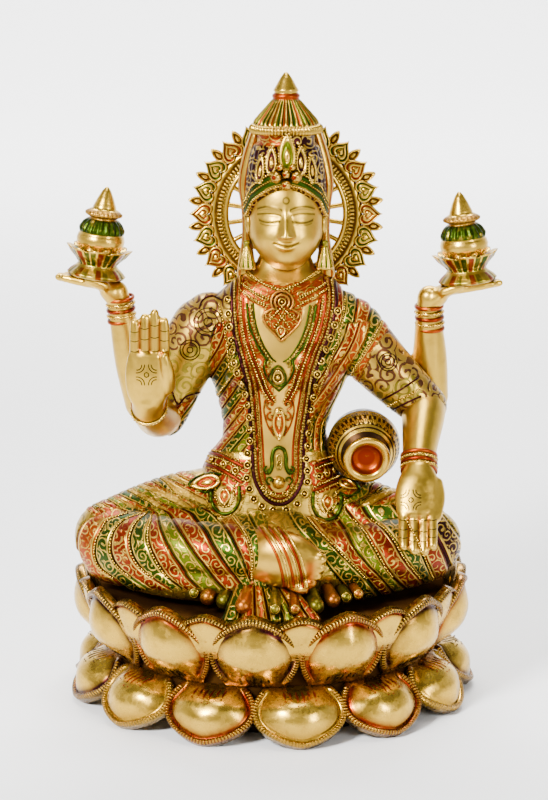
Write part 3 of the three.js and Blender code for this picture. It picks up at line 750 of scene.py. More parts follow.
def petal(shell, azimuth, foot, tip, half_width, bulge, fullness, line, rim_paint):
    """One petal: a raised corded rim, a painted line inside it and a domed middle.

    fullness is the dome's share of its height near the root.
    """
    outline, at_root = petal_outline(64)
    count = len(outline)
    near_edge = [0, 0.02, 0.05, 0.08, 0.115, 0.14, 0.165, 0.2, 0.25]
    inward = np.concatenate([near_edge, np.linspace(0.34, 0.95, 6)])
    run, rise = tip[0] - foot[0], tip[1] - foot[1]
    length = math.hypot(run, rise)
    out_r, out_z = abs(rise) / length, -run * np.sign(rise) / length

    def place(u, v, out):
        radius = foot[0] + run * v + out_r * out
        turn = azimuth + u * half_width / (foot[0] + run * v)
        height = foot[1] + rise * v + out_z * out
        return np.stack([radius * np.sin(turn), -radius * np.cos(turn), height], axis=-1)

    def swell(u, v, w):
        dome = bulge * (1 - (1 - smooth(0.08, 1.15, w)) ** 2.8) * 0.8
        dome = dome * mix(fullness, 1.0, smooth(0.0, 0.5, v))
        return dome + bulge * 0.35 * (1 - u**2) * np.sin(math.pi * np.clip(v, 0, 1)) ** 0.7

    def on_dome(u, v, lift):
        """A place on the petal's lower half."""
        return place(u, v, swell(u, v, v / PETAL_CENTRE[1]) + lift)

    w = inward[:, None]
    u = mix(outline[None, :, 0], PETAL_CENTRE[0], w)
    v = mix(outline[None, :, 1], PETAL_CENTRE[1], w)
    free = 1 - at_root[None, :]
    ridge = 1.6 * smooth(0.0, 0.03, w) * (1 - smooth(0.1, 0.14, w)) * free
    groove = -0.9 * bell(w - 0.16, 0.03) * free
    front = place(u, v, ridge + groove + swell(u, v, w))
    rows = len(inward)
    back_rows = [0, 9, 12, rows - 1]
    flat_back = bulge * 0.17 * (1 - u**2) * np.sin(math.pi * np.clip(v, 0, 1)) ** 0.7
    back = place(u, v, flat_back - SHELL)[back_rows]
    edge_line = place(outline[:, 0], outline[:, 1], 0 * outline[:, 0])
    steps = np.linalg.norm(np.diff(edge_line, axis=0), axis=1)
    along = np.broadcast_to(np.concatenate([[0], np.cumsum(steps)]), (rows, count))
    rim = np.maximum(w, at_root[None, :])
    # Painted shade, deepest just inside the rim and at the root, so that the dome reads as rounded
    shade = np.clip(bell(w - 0.12, 0.16) + 0.4 * (1 - smooth(0.0, 0.25, v)), 0, 1)
    colour = np.zeros((rows, count, 4))
    on_rim = w < 0.125
    colour[..., :3] = np.where(on_rim[..., None], np.array(rim_paint), np.array(line))
    colour[..., 3] = np.clip(np.maximum(1.8 * bell(w - 0.175, 0.06), on_rim * 0.9) * free, 0, 1)
    points = np.vstack([front.reshape(-1, 3), back.reshape(-1, 3), front[-1].mean(0), back[-1].mean(0)])
    size = rows * count
    size_back = len(back_rows) * count
    whole = size + size_back
    quads = grid_faces(rows, count, close_columns=True)
    quads_back = grid_faces(len(back_rows), count, close_columns=True)[:, ::-1] + size
    i = np.arange(count)
    k = (i + 1) % count
    edge = np.stack([k, i, size + i, size + k], axis=1)
    inner = (rows - 1) * count
    inner_back = whole - count
    fan = np.stack([inner + i, inner + k, np.full(count, whole)], axis=1)
    fan_back = np.stack([inner_back + k, inner_back + i, np.full(count, whole + 1)], axis=1)
    behind = size_back + 2
    values = {
        "along": np.concatenate([along.ravel(), np.zeros(behind)]),
        "rim": np.concatenate([rim.ravel(), np.ones(behind)]),
        "shade": np.concatenate([shade.ravel(), np.full(behind, 0.6)]),
        "paint": np.vstack([colour.reshape(-1, 4), np.tile(coat(DEEP_GOLD, 0.25), (behind, 1))]),
    }
    shell.add(points, np.vstack([quads, quads_back, edge]), np.vstack([fan, fan_back]), **values)
    return on_dome


def petal_material():
    """Satin brass with a corded rim whose grooves hold dark lacquer, with painted shade deepening towards the
    edges and the root.
    """
    n = Nodes("petal_brass")
    paint = n.attribute("paint")
    along = n.attribute("along").outputs["Fac"]
    rim = n.attribute("rim").outputs["Fac"]
    shade = n.attribute("shade").outputs["Fac"]
    on_rim = n.math("LESS_THAN", rim, 0.13)
    cord = n.math("ABSOLUTE", n.math("SINE", n.math("MULTIPLY", along, math.pi / 1.9)))
    # Painted shade towards the edges and the root
    metal = n.mix(n.math("MULTIPLY", shade, 0.85), tarnish(n, PALE_GOLD, DEEP_GOLD), PETAL_EDGE_SHADE)
    worn = n.ramp(n.noise(n.place(), 0.12, 3.0), 0.4, 0.7, 1.0, 0.6)
    line = n.math("MULTIPLY", paint.outputs["Alpha"], worn)
    line = n.math(
        "MULTIPLY", line, n.math("SUBTRACT", 1.0, n.math("MULTIPLY", on_rim, n.ramp(cord, 0.35, 0.9)))
    )
    base = n.mix(line, metal, paint.outputs["Color"])
    groove = n.math("MULTIPLY", n.ramp(cord, 0.5, 0.05), on_rim)
    base = n.mix(n.math("MULTIPLY", groove, 0.6), base, PURPLE)
    n.feed(n.shader.inputs["Base Color"], shaded(n, base, PETAL_SHADE, 0.35, 5.0))
    n.shader.inputs["Metallic"].default_value = 0.97
    n.link(n.ramp(n.noise(n.place(), 0.3, 3.0), 0.35, 0.75, 0.22, 0.34), n.shader.inputs["Roughness"])
    cording = n.math("MULTIPLY", cord, on_rim)
    height = n.math("ADD", cording, n.math("MULTIPLY", n.noise(n.place(), 0.2, 3.0), 0.18))
    n.link(n.bump(height, 0.5), n.shader.inputs["Normal"])
    return n.material


# From the front round to the figure's left: which lacquer runs round each petal
UPPER_LINES = [PURPLE, RED, PURPLE, RED, PURPLE, RED, PURPLE, RED, PURPLE, RED, PURPLE, PURPLE, RED]
LOWER_LINES = [GOLD, RED, GOLD, PURPLE, RED, GOLD, PURPLE, RED, GOLD, PURPLE, PURPLE, GOLD, RED]


def make_lotus():
    step = 2 * math.pi / PETALS
    half = math.pi * (WAIST[0] + RIM) / 2 / PETALS
    material = petal_material()
    upper, lower, behind = Shell(), Shell(), Shell()
    strokes = Shell()
    upper_foot = (WAIST[0] - 1.5, WAIST[1])
    lower_foot = (WAIST[0] - 2.5, WAIST[1])
    back_foot = (mix(WAIST[0], RIM, 0.45), mix(WAIST[1], UPPER_TIP[1], 0.4))
    back_tip = (RIM - 1, UPPER_TIP[1] - 1)
    for k in range(PETALS):
        azimuth = UPPER_TURN + k * step
        line = UPPER_LINES[k]
        on_dome = petal(upper, azimuth, upper_foot, UPPER_TIP, half, 9.0, 0.3, line, line)
        root_strokes(strokes, on_dome, 0.08, 0.15, 5, BLACK)
        petal(behind, azimuth + step / 2, back_foot, back_tip, half * 0.72, 1.5, 1.0, RED, PURPLE)
        line = LOWER_LINES[k]
        on_dome = petal(lower, azimuth + step / 2, lower_foot, LOWER_TIP, half * 1.06, 8.0, 0.6, line, line)
        root_strokes(strokes, on_dome, 0.12, 0.26, 6, line if line != GOLD else ORANGE)
    upper.make("upper_petals", material, BASE)
    behind.make("rear_petals", material, BASE)
    lower.make("lower_petals", material, BASE)
    strokes.make("petal_strokes", coloured, BASE)
    # The hidden core and the seat
    profile = [(0, 0.0), (86, 0.0), (RIM - 26, 0.3), (RIM - 24, 2), (WAIST[0] - 3, WAIST[1] - 2)]
    profile += [
        (WAIST[0] - 3, WAIST[1] + 2), (RIM - 13, SEAT - 1.2), (RIM - 14, SEAT - 0.2), (RIM - 16, SEAT),
        (0, SEAT)
    ]
    core = Shell()
    add_turned(core, profile, 120, (0, 0, 0), paint=coat(GOLD, 0.0))
    core.make("lotus_core", seat_brass, BASE)


def root_strokes(shell, on_dome, foot, length, count, line):
    """Short engraved strokes, each with a dot over it, at a petal's root."""
    section = ((-1, -1), (-0.7, 1), (0.7, 1), (1, -1))
    side = np.array([1.0, 0, 0])
    out = np.array([0, -1, 0.2])
    for i in range(count):
        u = mix(-0.3, 0.3, i / (count - 1))
        long = length * (0.75 + 0.25 * math.cos((i - (count - 1) / 2) * 1.7))
        v = np.linspace(foot, foot + long, 6)
        middle = on_dome(u * np.ones(6), v, 0.15)
        width = 0.85 * np.sin(np.linspace(0.25, math.pi - 0.1, 6))
        rings = np.array(
            [[m + side * a * w + out * b * 0.3 for a, b in section] for m, w in zip(middle, width)]
        )
        shell.add(*rings_to_shell(rings), paint=coat(line, 1.0))
        dot = on_dome(np.array([u]), np.array([foot + long * 1.25]), 0.0)[0]
        add_bead(shell, dot, out, 0.5, 0.4, paint=coat(line, 1.0))


def add_turned(shell, profile, sides, centre, lean=0.0, wave=None, paint=None, **values):
    """A turned form about the vertical, leaned to the side by degrees."""
    p = np.array(profile, float)
    turn = np.linspace(0, 2 * math.pi, sides, endpoint=False)
    radius = np.maximum(p[:, 0], 0.01)[:, None] * np.ones((1, sides))
    height = p[:, 1][:, None] * np.ones((1, sides))
    if wave is not None:
        radius, height = wave(radius, height, turn[None, :])
    points = np.stack([radius * np.sin(turn), -radius * np.cos(turn), height], axis=-1)
    x, z = rotated(points[..., 0], points[..., 2], -math.radians(lean))
    rings = np.stack([x, points[..., 1], z], axis=-1) + np.array(centre)
    pts, quads, triangles = rings_to_shell(rings)
    if callable(paint):
        colour = paint(height, turn[None, :] * np.ones((len(p), 1)), radius).reshape(-1, 4)
        paint = np.vstack([colour, colour[:1], colour[-1:]])
    if paint is not None:
        values["paint"] = paint
    shell.add(pts, quads[:, ::-1], triangles[:, ::-1], **values)


# Body forms


def seated(places):
    """Places given as heights over the seat, raised to the frame's own heights."""
    p = np.array(places, float)
    p[..., 2] += SEAT
    return p


TRUNK = [
    [20, 0, 8, 58, 42], [50, 0, 6, 48, 33], [62, 0, 6, 41.5, 29.5], [74, 0.5, 6, 36.5, 27],
    [85, 1.8, 5, 30.5, 23.8],
    [99, 2.5, 5, 32, 24], [116, 4, 5, 38, 27], [134, 5, 2.5, 42.5, 27], [152, 5.5, 1, 44.5, 22.5],
    [165, 6, 1.5, 40, 20.5],
    [175, 6.5, 1.5, 30, 18], [183, 7, 3, 19, 13], [190, 7.5, 4, 15.0, 11.5], [197, 7.5, 3.5, 14.0, 11],
]


def trunk_rings():
    p = spline(TRUNK, 90)
    turn = np.linspace(0, 2 * math.pi, 96, endpoint=False)
    c, s = np.cos(turn), np.sin(turn)
    power = 2 / 2.3
    x = p[:, 1:2] + p[:, 3:4] * np.sign(c) * np.abs(c) ** power
    y = p[:, 2:3] + p[:, 4:5] * np.sign(s) * np.abs(s) ** power
    z = SEAT + p[:, :1] * np.ones((1, 96))
    return np.stack([x, y, z], axis=-1)


RIGHT_UPPER = seated(
    [[-36, 3, 152, 17, 17], [-41, 2, 146, 18.5, 18], [-53, 0, 124, 17, 16.5], [-63, -4, 99, 13.5, 13.5]]
)
LEFT_UPPER = seated(
    [[40, 3, 152, 17, 17], [45, 2, 147, 18.5, 18], [66, 0, 124, 16.5, 16], [88, -2, 103, 13.5, 13.5]]
)


def five(centre, wide, deep):
    x, y, z = centre
    return [x, y, z + SEAT, wide, deep]


def limb_through(stations, **kind):
    return tube([five(s[:3], s[3], s[4] if len(s) > 4 else s[3]) for s in stations], **kind)


def finger(root, tip, radius):
    a, b = np.array(root, float), np.array(tip, float)
    middle = (a + b) / 2
    places = [
        [*a, radius, radius], [*middle, radius, radius],
        [*mix(middle, b, 0.6), radius * 0.95, radius * 0.95], [*b, radius * 0.82, radius * 0.82]
    ]
    return tube(places, steps=16, sides=20)


# Hands: for every finger the pixel column, the tip's and the root's pixel rows
RAISED_FINGERS = [(134.6, 322.5, 357), (144.6, 317.5, 357), (154.6, 313, 357), (164.4, 321, 356)]
RAISED_PALM = [
    (149, 404, -42, 9.0, 6.5), (148, 393, -44, 11.6, 6.2), (147.5, 375, -46, 12.6, 5.6),
    (149, 357, -47.5, 11.9, 4.2)
]
RAISED_THUMB = [(168, 388, -45, 4.2), (168, 376, -49, 3.9), (166.5, 366, -51, 3.4), (164.5, 357, -52, 2.6)]
LOWERED_FINGERS = [(403.6, 547, 514), (413.8, 551, 514), (424, 552, 514), (432.5, 546, 512)]
LOWERED_PALM = [
    (419, 470, -44, 8.6, 7.0), (418.5, 481, -49, 11.4, 6.4), (417.5, 496, -54, 12.7, 5.8),
    (418, 513, -60, 12.0, 4.6)
]
LOWERED_THUMB = [(436, 484, -48, 4.2), (438.5, 497, -52, 3.9), (437.5, 509, -57, 3.4), (436.5, 518, -61, 2.7)]


def pixel_tube(places, **kind):
    """A limb through (x pixel, y pixel, depth, half width, half depth) places."""
    return tube([[*place_at(p[0], p[1], p[2]), p[3], p[4] if len(p) > 4 else p[3]] for p in places], **kind)


def hand_forms(palm, fingers, thumb, root_depth, tip_depth, radius):
    forms = [pixel_tube(palm, across=(1, 0, 0), steps=30, sides=48), pixel_tube(thumb, steps=20, sides=24)]
    for x, tip_y, root_y in fingers:
        forms.append(finger(place_at(x, root_y, root_depth), place_at(x, tip_y, tip_depth), radius))
    return forms


def carrying_hand(wrist, palm, side, reach):
    """A flat hand seen from its edge, with its fingers pointing outward under a small pot."""
    x, y, z = palm
    forms = [
        limb_through(
            [
                (*wrist, 6.6, 6.4), (*mix(np.array(wrist), np.array(palm), 0.55), 8.4, 5.6),
                (x, y, z, 10, 3.8), (x + side * 8, y - 1, z + 1.6, 10, 3.0)
            ],
            across=(0, 1, 0), steps=24, sides=40
        )
    ]
    for k, deep in enumerate((-7.2, -2.4, 2.4, 7.2)):
        far = reach * (0.86, 1.0, 0.98, 0.84)[k]
        forms.append(
            finger(
                seated((x + side * 6, y + deep - 1, z + 1.5)),
                seated((x + side * far, y - 1 + deep * 0.7, z + 4.5)), 2.6
            )
        )
    forms.append(finger(seated((x - side * 2, y - 8, z)), seated((x + side * 7, y - 11, z + 4)), 3.0))
    return forms


def bare_arm_forms():
    forms = []
    # The hand raised in blessing, and its forearm
    forms.append(
        limb_through(
            [(-63, -4, 99, 13), (-66, -15, 100, 12.3), (-69, -33, 107, 10), (-70, -41, 115, 9)], steps=30
        )
    )
    forms += hand_forms(RAISED_PALM, RAISED_FINGERS, RAISED_THUMB, -47.5, -48.5, 2.95)
    # The lowered hand, and its forearm
    forms.append(
        limb_through(
            [(88, -2, 103, 13), (87, -12, 97, 12.2), (84, -32, 82, 9.6), (83.5, -42, 72, 9)], steps=30
        )
    )
    forms += hand_forms(LOWERED_PALM, LOWERED_FINGERS, LOWERED_THUMB, -60, -73, 2.95)
    # The two arms behind, which carry the small pots
    forms.append(limb_through([(-36, 12, 142, 14), (-58, 15, 120, 12.5), (-75, 18, 101, 11.5)], steps=30))
    forms.append(
        limb_through([(-75, 18, 101, 11.5), (-82, 14, 128, 10), (-88, 9, 160, 7), (-90, 8, 168, 7)], steps=34)
    )
    forms += carrying_hand((-90, 8, 165), (-98, 7, 173), -1, 25)
    forms.append(limb_through([(44, 12, 142, 14), (70, 15, 122, 12.5), (92, 18, 105, 11.5)], steps=30))
    forms.append(
        limb_through([(92, 18, 105, 11.5), (92, 14, 130, 10), (90.5, 9, 158, 7), (91, 8, 165, 7)], steps=34)
    )
    forms += carrying_hand((91, 8, 162), (101, 7, 169.5), 1, 30)
    return forms


def leg_forms():
    forms = [
        limb_through([(-22, 8, 36, 30), (-58, -4, 36, 25.5), (-94, -22, 31, 20)], steps=50, sides=56),
        limb_through([(22, 8, 36, 30), (58, -4, 32.5, 24.5), (90, -20, 27, 19.5)], steps=50, sides=56),
        limb_through(
            [(-94, -26, 29, 20, 19), (-55, -54, 31, 19.5, 17.5), (-8, -72, 34, 15, 14.5)], steps=50,
            sides=56
        ),
        limb_through(
            [(90, -24, 25, 18), (54, -52, 27, 18.5, 17.5), (10, -66, 24, 15, 14)], steps=50, sides=56
        ),
        ellipsoid((0, -41, 22 + SEAT), (48, 38, 27)),
        # The cloth that the legs lie on
        limb_through(
            [(-92, -26, 20, 18, 15), (-54, -55, 18, 18, 14.5), (-4, -70, 17, 14, 13)], steps=50, sides=56
        ),
        limb_through(
            [(88, -24, 19, 17, 14.5), (52, -50, 17, 18, 14), (10, -64, 16, 14, 13)], steps=50, sides=56
        ),
    ]
    return forms


# Carving and paint laid by the photograph's pixels


def line_table(rows, lines):
    """The bands' border lines, smoothed: for each line its x at many y."""
    fine = np.linspace(rows[0], rows[-1], 60)
    smoothed = []
    for line in lines:
        curve = spline(np.stack([rows, line], axis=1), 120)
        smoothed.append(np.interp(fine, curve[:, 0], curve[:, 1]))
    return fine, np.array(smoothed)


LEFT_LEG_ROWS = (508, 513, 520, 530, 542, 555, 567, 578, 590)
LEFT_LEG_LINES = [
    (96, 100, 86, 78, 76, 78, 84, 92, 108),
    (120, 128, 108, 101, 95.5, 94.5, 99.5, 113, 128),
    (135, 143, 124, 114, 110, 111, 118, 131.5, 150),
    (140, 147, 138, 131.5, 129, 132, 139.5, 152.5, 172),
    (146, 152, 150.5, 148, 148, 153, 159.5, 168, 184),
    (150, 157, 158.5, 161, 166, 173, 181, 188, 200),
    (158, 168, 173, 179, 186.5, 195.5, 204.5, 213.5, 224),
    (180, 191, 196, 205, 211, 219, 227, 236.5, 246),
    (202, 212, 220, 228, 234.5, 241, 246, 250, 254),
    (222, 230, 235.5, 243, 249, 252, 252, 252, 254),
    (244, 249, 252.5, 257.5, 262.5, 265, 266, 267, 268),
    (262, 264, 266, 268, 270, 272, 273, 274, 276),
]
LEFT_LEG = line_table(LEFT_LEG_ROWS, LEFT_LEG_LINES)
LEFT_LEG_PAINT = [ORANGE, GREEN, RED, GREEN, RED, LIME, RED, GREEN, RED, GREEN, LIME]

RIGHT_LEG_ROWS = (505, 518, 530, 542, 555, 567, 578, 592, 606)
RIGHT_LEG_LINES = [
    (285, 290, 298, 309, 319, 327.5, 336, 346, 356),
    (300, 308, 318, 330, 343, 355, 366, 378, 390),
    (325, 337, 346, 352, 360, 370, 381, 393, 405),
    (344, 353, 363, 371, 378.5, 385, 393, 408, 420),
    (362, 370, 385, 395, 402, 410.5, 420, 431, 442),
    (395, 405, 412, 418, 423.5, 428, 433, 440, 448),
    (415, 425, 432, 439, 445, 449, 452, 456, 460),
    (436, 447, 456, 464, 470, 474, 476, 476, 476),
]
RIGHT_LEG = line_table(RIGHT_LEG_ROWS, RIGHT_LEG_LINES)
RIGHT_LEG_PAINT = [GREEN, RED, LIME, RED, GREEN, RED, PURPLE]

THIGH_LEFT = line_table(
    (462, 480, 492, 502, 509, 516),
    [
        (
            x - 92 + 9 * math.sin(k), x - 62 + 7 * math.sin(k), x - 38 + 6 * math.sin(1.7 * k),
            x - 18 + 4 * math.sin(1.7 * k), x - 6, x + 2
        )
        for k, x in enumerate(range(92, 272, 9))
    ],
)
THIGH_RIGHT = line_table(
    (470, 484, 494, 502, 512),
    [
        (
            x + 62, x + 40 + 5 * math.sin(k), x + 26 + 6 * math.sin(1.6 * k),
            x + 12 + 4 * math.sin(1.6 * k), x
        )
        for k, x in enumerate(range(292, 452, 9))
    ],
)

# The shawl's folds slant down across the right side of the waist
TORSO_LEFT = line_table(
    (322, 350, 400, 450, 495),
    [(x, x - 11, x - 44, x - 84, x - 124) for x in range(206, 378, 11)],
)
TORSO_LEFT_PAINT = [GREEN, RED, ORANGE, GREEN, LIME, RED]

TORSO_RIGHT = line_table(
    (272, 300, 318, 335, 350, 370, 390, 410, 430, 480),
    [
        (330, 332, 331, 327, 320, 314, 308, 304, 302, 300),
        (340, 345, 343, 339, 335, 329, 322, 314, 310, 308),
        (352, 357, 355, 351, 346, 339, 331, 321, 314, 314),
        (366, 372, 369, 363, 356, 347, 339, 329, 320, 322),
        (380, 386, 383, 375, 366, 354, 346, 337, 327, 332),
        (396, 400, 396, 389, 378, 364, 356, 346, 338, 344),
    ],
)
TORSO_RIGHT_PAINT = [RED, GREEN, ORANGE, GREEN, ORANGE]


def in_bands(px, py, table, paints):
    """For each pixel its band (from 1, with the fraction across), its paint and whether it's inside."""
    rows, lines = table
    x = np.array([np.interp(py, rows, line) for line in lines])
    index = np.clip((px[None, :] > x).sum(axis=0) - 1, 0, len(lines) - 2)
    low = np.take_along_axis(x, index[None], 0)[0]
    high = np.take_along_axis(x, index[None] + 1, 0)[0]
    part = np.clip((px - low) / np.maximum(high - low, 0.5), 0.0, 1.0)
    inside = (px > x[0]) & (px < x[-1]) & (py > rows[0]) & (py < rows[-1])
    colours = np.array([paints[k % len(paints)] for k in range(len(lines) - 1)])[index]
    return index + 1 + part, colours, inside


def lay_bands(px, py, layers, ground):
    """The values of all the points of a cloth, the first layer that a point falls in being the one shown."""
    band = np.full(len(px), -1.0)
    paint = np.tile(coat(*ground), (len(px), 1))
    taken = np.zeros(len(px), bool)
    for table, paints, amount in layers:
        across, colours, inside = in_bands(px, py, table, paints)
        use = inside & ~taken
        band[use] = across[use]
        paint[use, :3] = colours[use]
        paint[use, 3] = amount
        taken |= use
    return band, paint


def ridge_relief(band, height=0.55, groove=0.9):
    part = band - np.floor(band)
    edge = np.minimum(part, 1 - part)
    lift = height * (1 - (2 * part - 1) ** 2) - groove * bell(edge, 0.09)
    return np.where(band > 0, lift, 0)


def inside_polygon(px, py, corners):
    inside = np.zeros(len(px), bool)
    x, y = np.array(corners, float).T
    for i in range(len(x)):
        x0, y0, x1, y1 = x[i - 1], y[i - 1], x[i], y[i]
        crosses = (y0 > py) != (y1 > py)
        at = x0 + (py - y0) * (x1 - x0) / (y1 - y0 + 1e-9)
        inside ^= crosses & (px < at)
    return inside


# Size of the mesh of each fused form, in millimetres
LEGS_MESH = 1.28
TORSO_MESH = 1.25
ARMS_MESH = 0.97
FOOT_MESH = 0.85


def make_legs():
    points, normals, quads = fuse(leg_forms(), LEGS_MESH, 3)
    px, py = seen(points)
    layers = [
        (LEFT_LEG, LEFT_LEG_PAINT, 0.9),
        (RIGHT_LEG, RIGHT_LEG_PAINT, 0.9),
        (THIGH_LEFT, [ORANGE, GREEN, GOLD, RED, LIME, GOLD], 0.85),
        (THIGH_RIGHT, [RED, GREEN, GOLD, ORANGE, LIME], 0.85),
    ]
    band, paint = lay_bands(px, py, layers, (GREEN, 0.55))
    # Round the back the pleats run on as plain folds
    behind = normals[:, 1] > 0.15
    points = points + normals * ridge_relief(band)[:, None]
    surface_parts.append((points, quads))
    shell = Shell().add(
        points, quads, band=np.where(behind, -1, band), paint=paint, chase=np.where(behind, 0.4, 1.0)
    )
    return shell.make("draped_legs", chased, FIGURE)


SLEEVE_LEFT = [
    (150, 320), (176, 285), (212, 272), (232, 272), (226, 300), (212, 330), (205, 392), (170, 410),
    (150, 400)
]
SLEEVE_RIGHT = [(384, 300), (440, 330), (440, 430), (388, 412), (362, 384), (372, 350), (388, 330)]
PANEL = [
    (238, 272), (238, 300), (240, 330), (247, 360), (255, 390), (258, 440), (260, 480), (266, 496),
    (279, 501), (292, 496), (298, 480), (299, 440), (309, 385), (315, 360), (326, 330), (331, 300),
    (330, 272)
]
CHEST_BAND_LEFT = [
    (237, 284), (250, 300), (254, 325), (262, 350), (270, 366), (276, 400), (268, 404), (256, 385),
    (244, 356), (238, 330)
]
CHEST_BAND_RIGHT = [
    (329, 284), (316, 300), (310, 325), (302, 348), (292, 366), (284, 400), (292, 404), (304, 382),
    (314, 356), (326, 326)
]
COLLAR_FIELD = [
    (244, 268), (262, 280), (282, 286), (302, 280), (322, 268), (328, 288), (304, 306), (300, 322),
    (282, 342), (264, 322), (262, 306), (238, 288)
]
SLEEVE_CUFF = [(165, 352), (212, 345), (208, 395), (165, 400)]
SLEEVE_HEM_FIELD = [(374, 392), (414, 374), (424, 396), (386, 414)]
SASH_LEFT = [(196, 452), (250, 460), (250, 488), (240, 500), (205, 470)]
SASH_RIGHT = [(308, 462), (360, 452), (360, 480), (312, 496)]
DRAPE = [(243, 488), (262, 512), (296, 512), (310, 494), (320, 522), (298, 532), (262, 520)]
WAIST_ROW = 452
CHIN_ROW = 284
NECK_FROM = SEAT + 178


def make_torso():
    forms = [trunk_rings()]
    forms.append(tube(RIGHT_UPPER, steps=40, sides=44))
    forms.append(tube(LEFT_UPPER, steps=40, sides=44))
    for x, z in ((-12.5, 130), (20.5, 130)):
        forms.append(ellipsoid((x, -13.5, z + SEAT), (15.5, 15, 16)))
    points, normals, quads = fuse(forms, TORSO_MESH, 3)
    px, py = seen(points)
    layers = [(TORSO_LEFT, TORSO_LEFT_PAINT, 0.85), (TORSO_RIGHT, TORSO_RIGHT_PAINT, 0.85)]
    band, paint = lay_bands(px, py, layers, (PURPLE, 0.8))
    for corners in (SLEEVE_LEFT, SLEEVE_RIGHT):
        sleeve = inside_polygon(px, py, corners)
        band[sleeve] = -1
        paint[sleeve] = coat(MAUVE, 0.95)
    paint[inside_polygon(px, py, SLEEVE_CUFF)] = coat(LIME, 0.6)
    paint[inside_polygon(px, py, SLEEVE_HEM_FIELD)] = coat(GREEN, 0.75)
    chase = np.ones(len(px))
    panel = inside_polygon(px, py, PANEL)
    band[panel] = -1
    # The panel's ground: a lighter, polished brass whose brightness is also a painted highlight
    paint[panel] = coat(HONEY, 1.0)
    chase[panel] = 0.0
    for corners in (CHEST_BAND_LEFT, CHEST_BAND_RIGHT, COLLAR_FIELD):
        field = inside_polygon(px, py, corners)
        paint[field] = coat(ORANGE, 0.9)
        band[field] = 0.5
        chase[field] = 1.0
    waist = (py > WAIST_ROW) & ~panel
    band[waist] = -1
    paint[waist] = coat(GREEN, 0.5)
    for corners in (SASH_LEFT, SASH_RIGHT):
        sash = inside_polygon(px, py, corners)
        band[sash] = 0.5
        paint[sash] = coat(RED, 1.0)
    drape = inside_polygon(px, py, DRAPE)
    band[drape] = -1
    paint[drape] = coat(GOLD, 0.0)
    chase[drape] = 0.0
    neck = points[:, 2] > NECK_FROM
    paint[neck & (py < CHIN_ROW)] = coat(GOLD, 0.0)
    band[neck & (py < CHIN_ROW)] = -1
    chase[neck] = 0.0
    points = points + normals * ridge_relief(band, 0.45, 0.7)[:, None]
    surface_parts.append((points, quads))
    shell = Shell().add(points, quads, band=band, paint=paint, chase=chase)
    return shell.make("draped_torso", chased, FIGURE)


# The pixel rows between which each hand's fingers lie apart
FINGER_GAPS = ((RAISED_FINGERS, 318, 355), (LOWERED_FINGERS, 512, 550))


def make_bare_arms():
    points, normals, quads = fuse(bare_arm_forms(), ARMS_MESH, 2)
    surface_parts.append((points, quads))
    px, py = seen(points)
    toward = normals[:, 1] < 0.2
    between = np.zeros(len(px))
    for fingers, top, foot in FINGER_GAPS:
        fade = smooth(top - 2, top + 6, py) * (1 - smooth(foot - 3, foot + 1, py))
        for a, b in zip(fingers[:-1], fingers[1:]):
            gap = bell(px - (a[0] + b[0]) / 2, 2.1) * fade
            between = np.maximum(between, gap)
    paint = np.tile(coat(RED, 0.0), (len(px), 1))
    paint[:, 3] = np.where(toward, between, 0)
    Shell().add(points, quads, paint=paint).make("bare_arms", satin_skin, FIGURE)


# Head


def head_radius(angle, height):
    """How far the head reaches from its own upright axis, at an angle from the front."""
    level = np.abs(height - 280)
    k = np.where(height > 280, 1 - (level / 34) ** 2.6, 1 - (level / 26) ** 2)
    k = np.sqrt(np.clip(k, 0.0, 1))
    skull = k / np.sqrt((np.sin(angle) / 21.7) ** 2 + (np.cos(angle) / 22) ** 2)
    j = np.sqrt(np.clip(1 - ((height - 265.8) / 16.4) ** 2, 0.0, 1)) * 16.4
    forward = 5.0 * np.cos(angle)
    inside = np.clip(j**2 - (5.0 * np.sin(angle)) ** 2, 0, None)
    jaw = np.where(j > 0, forward + np.sqrt(inside), 0)
    jaw = np.clip(jaw, 0, None)
    return (skull**5 + jaw**5) ** 0.2


EYE_SIDE = 9.4
EYE_HEIGHT = 281.0


def lid_height(side):
    """The lowered upper lid's edge."""
    return EYE_HEIGHT - 1.3 - 1.1 * np.clip(1 - ((side - EYE_SIDE) / 5.8) ** 2, 0, 1)


def crease_height(side):
    return EYE_HEIGHT + 1.7 + 0.9 * np.clip(1 - ((side - EYE_SIDE) / 7.0) ** 2, 0, 1)


def brow_height(side):
    return EYE_HEIGHT + 3.4 + 2.7 * np.clip(1 - ((side - 9.0) / 8.4) ** 2, 0, 1)


def lip_height(side):
    return 265.8 + 0.035 * side**2


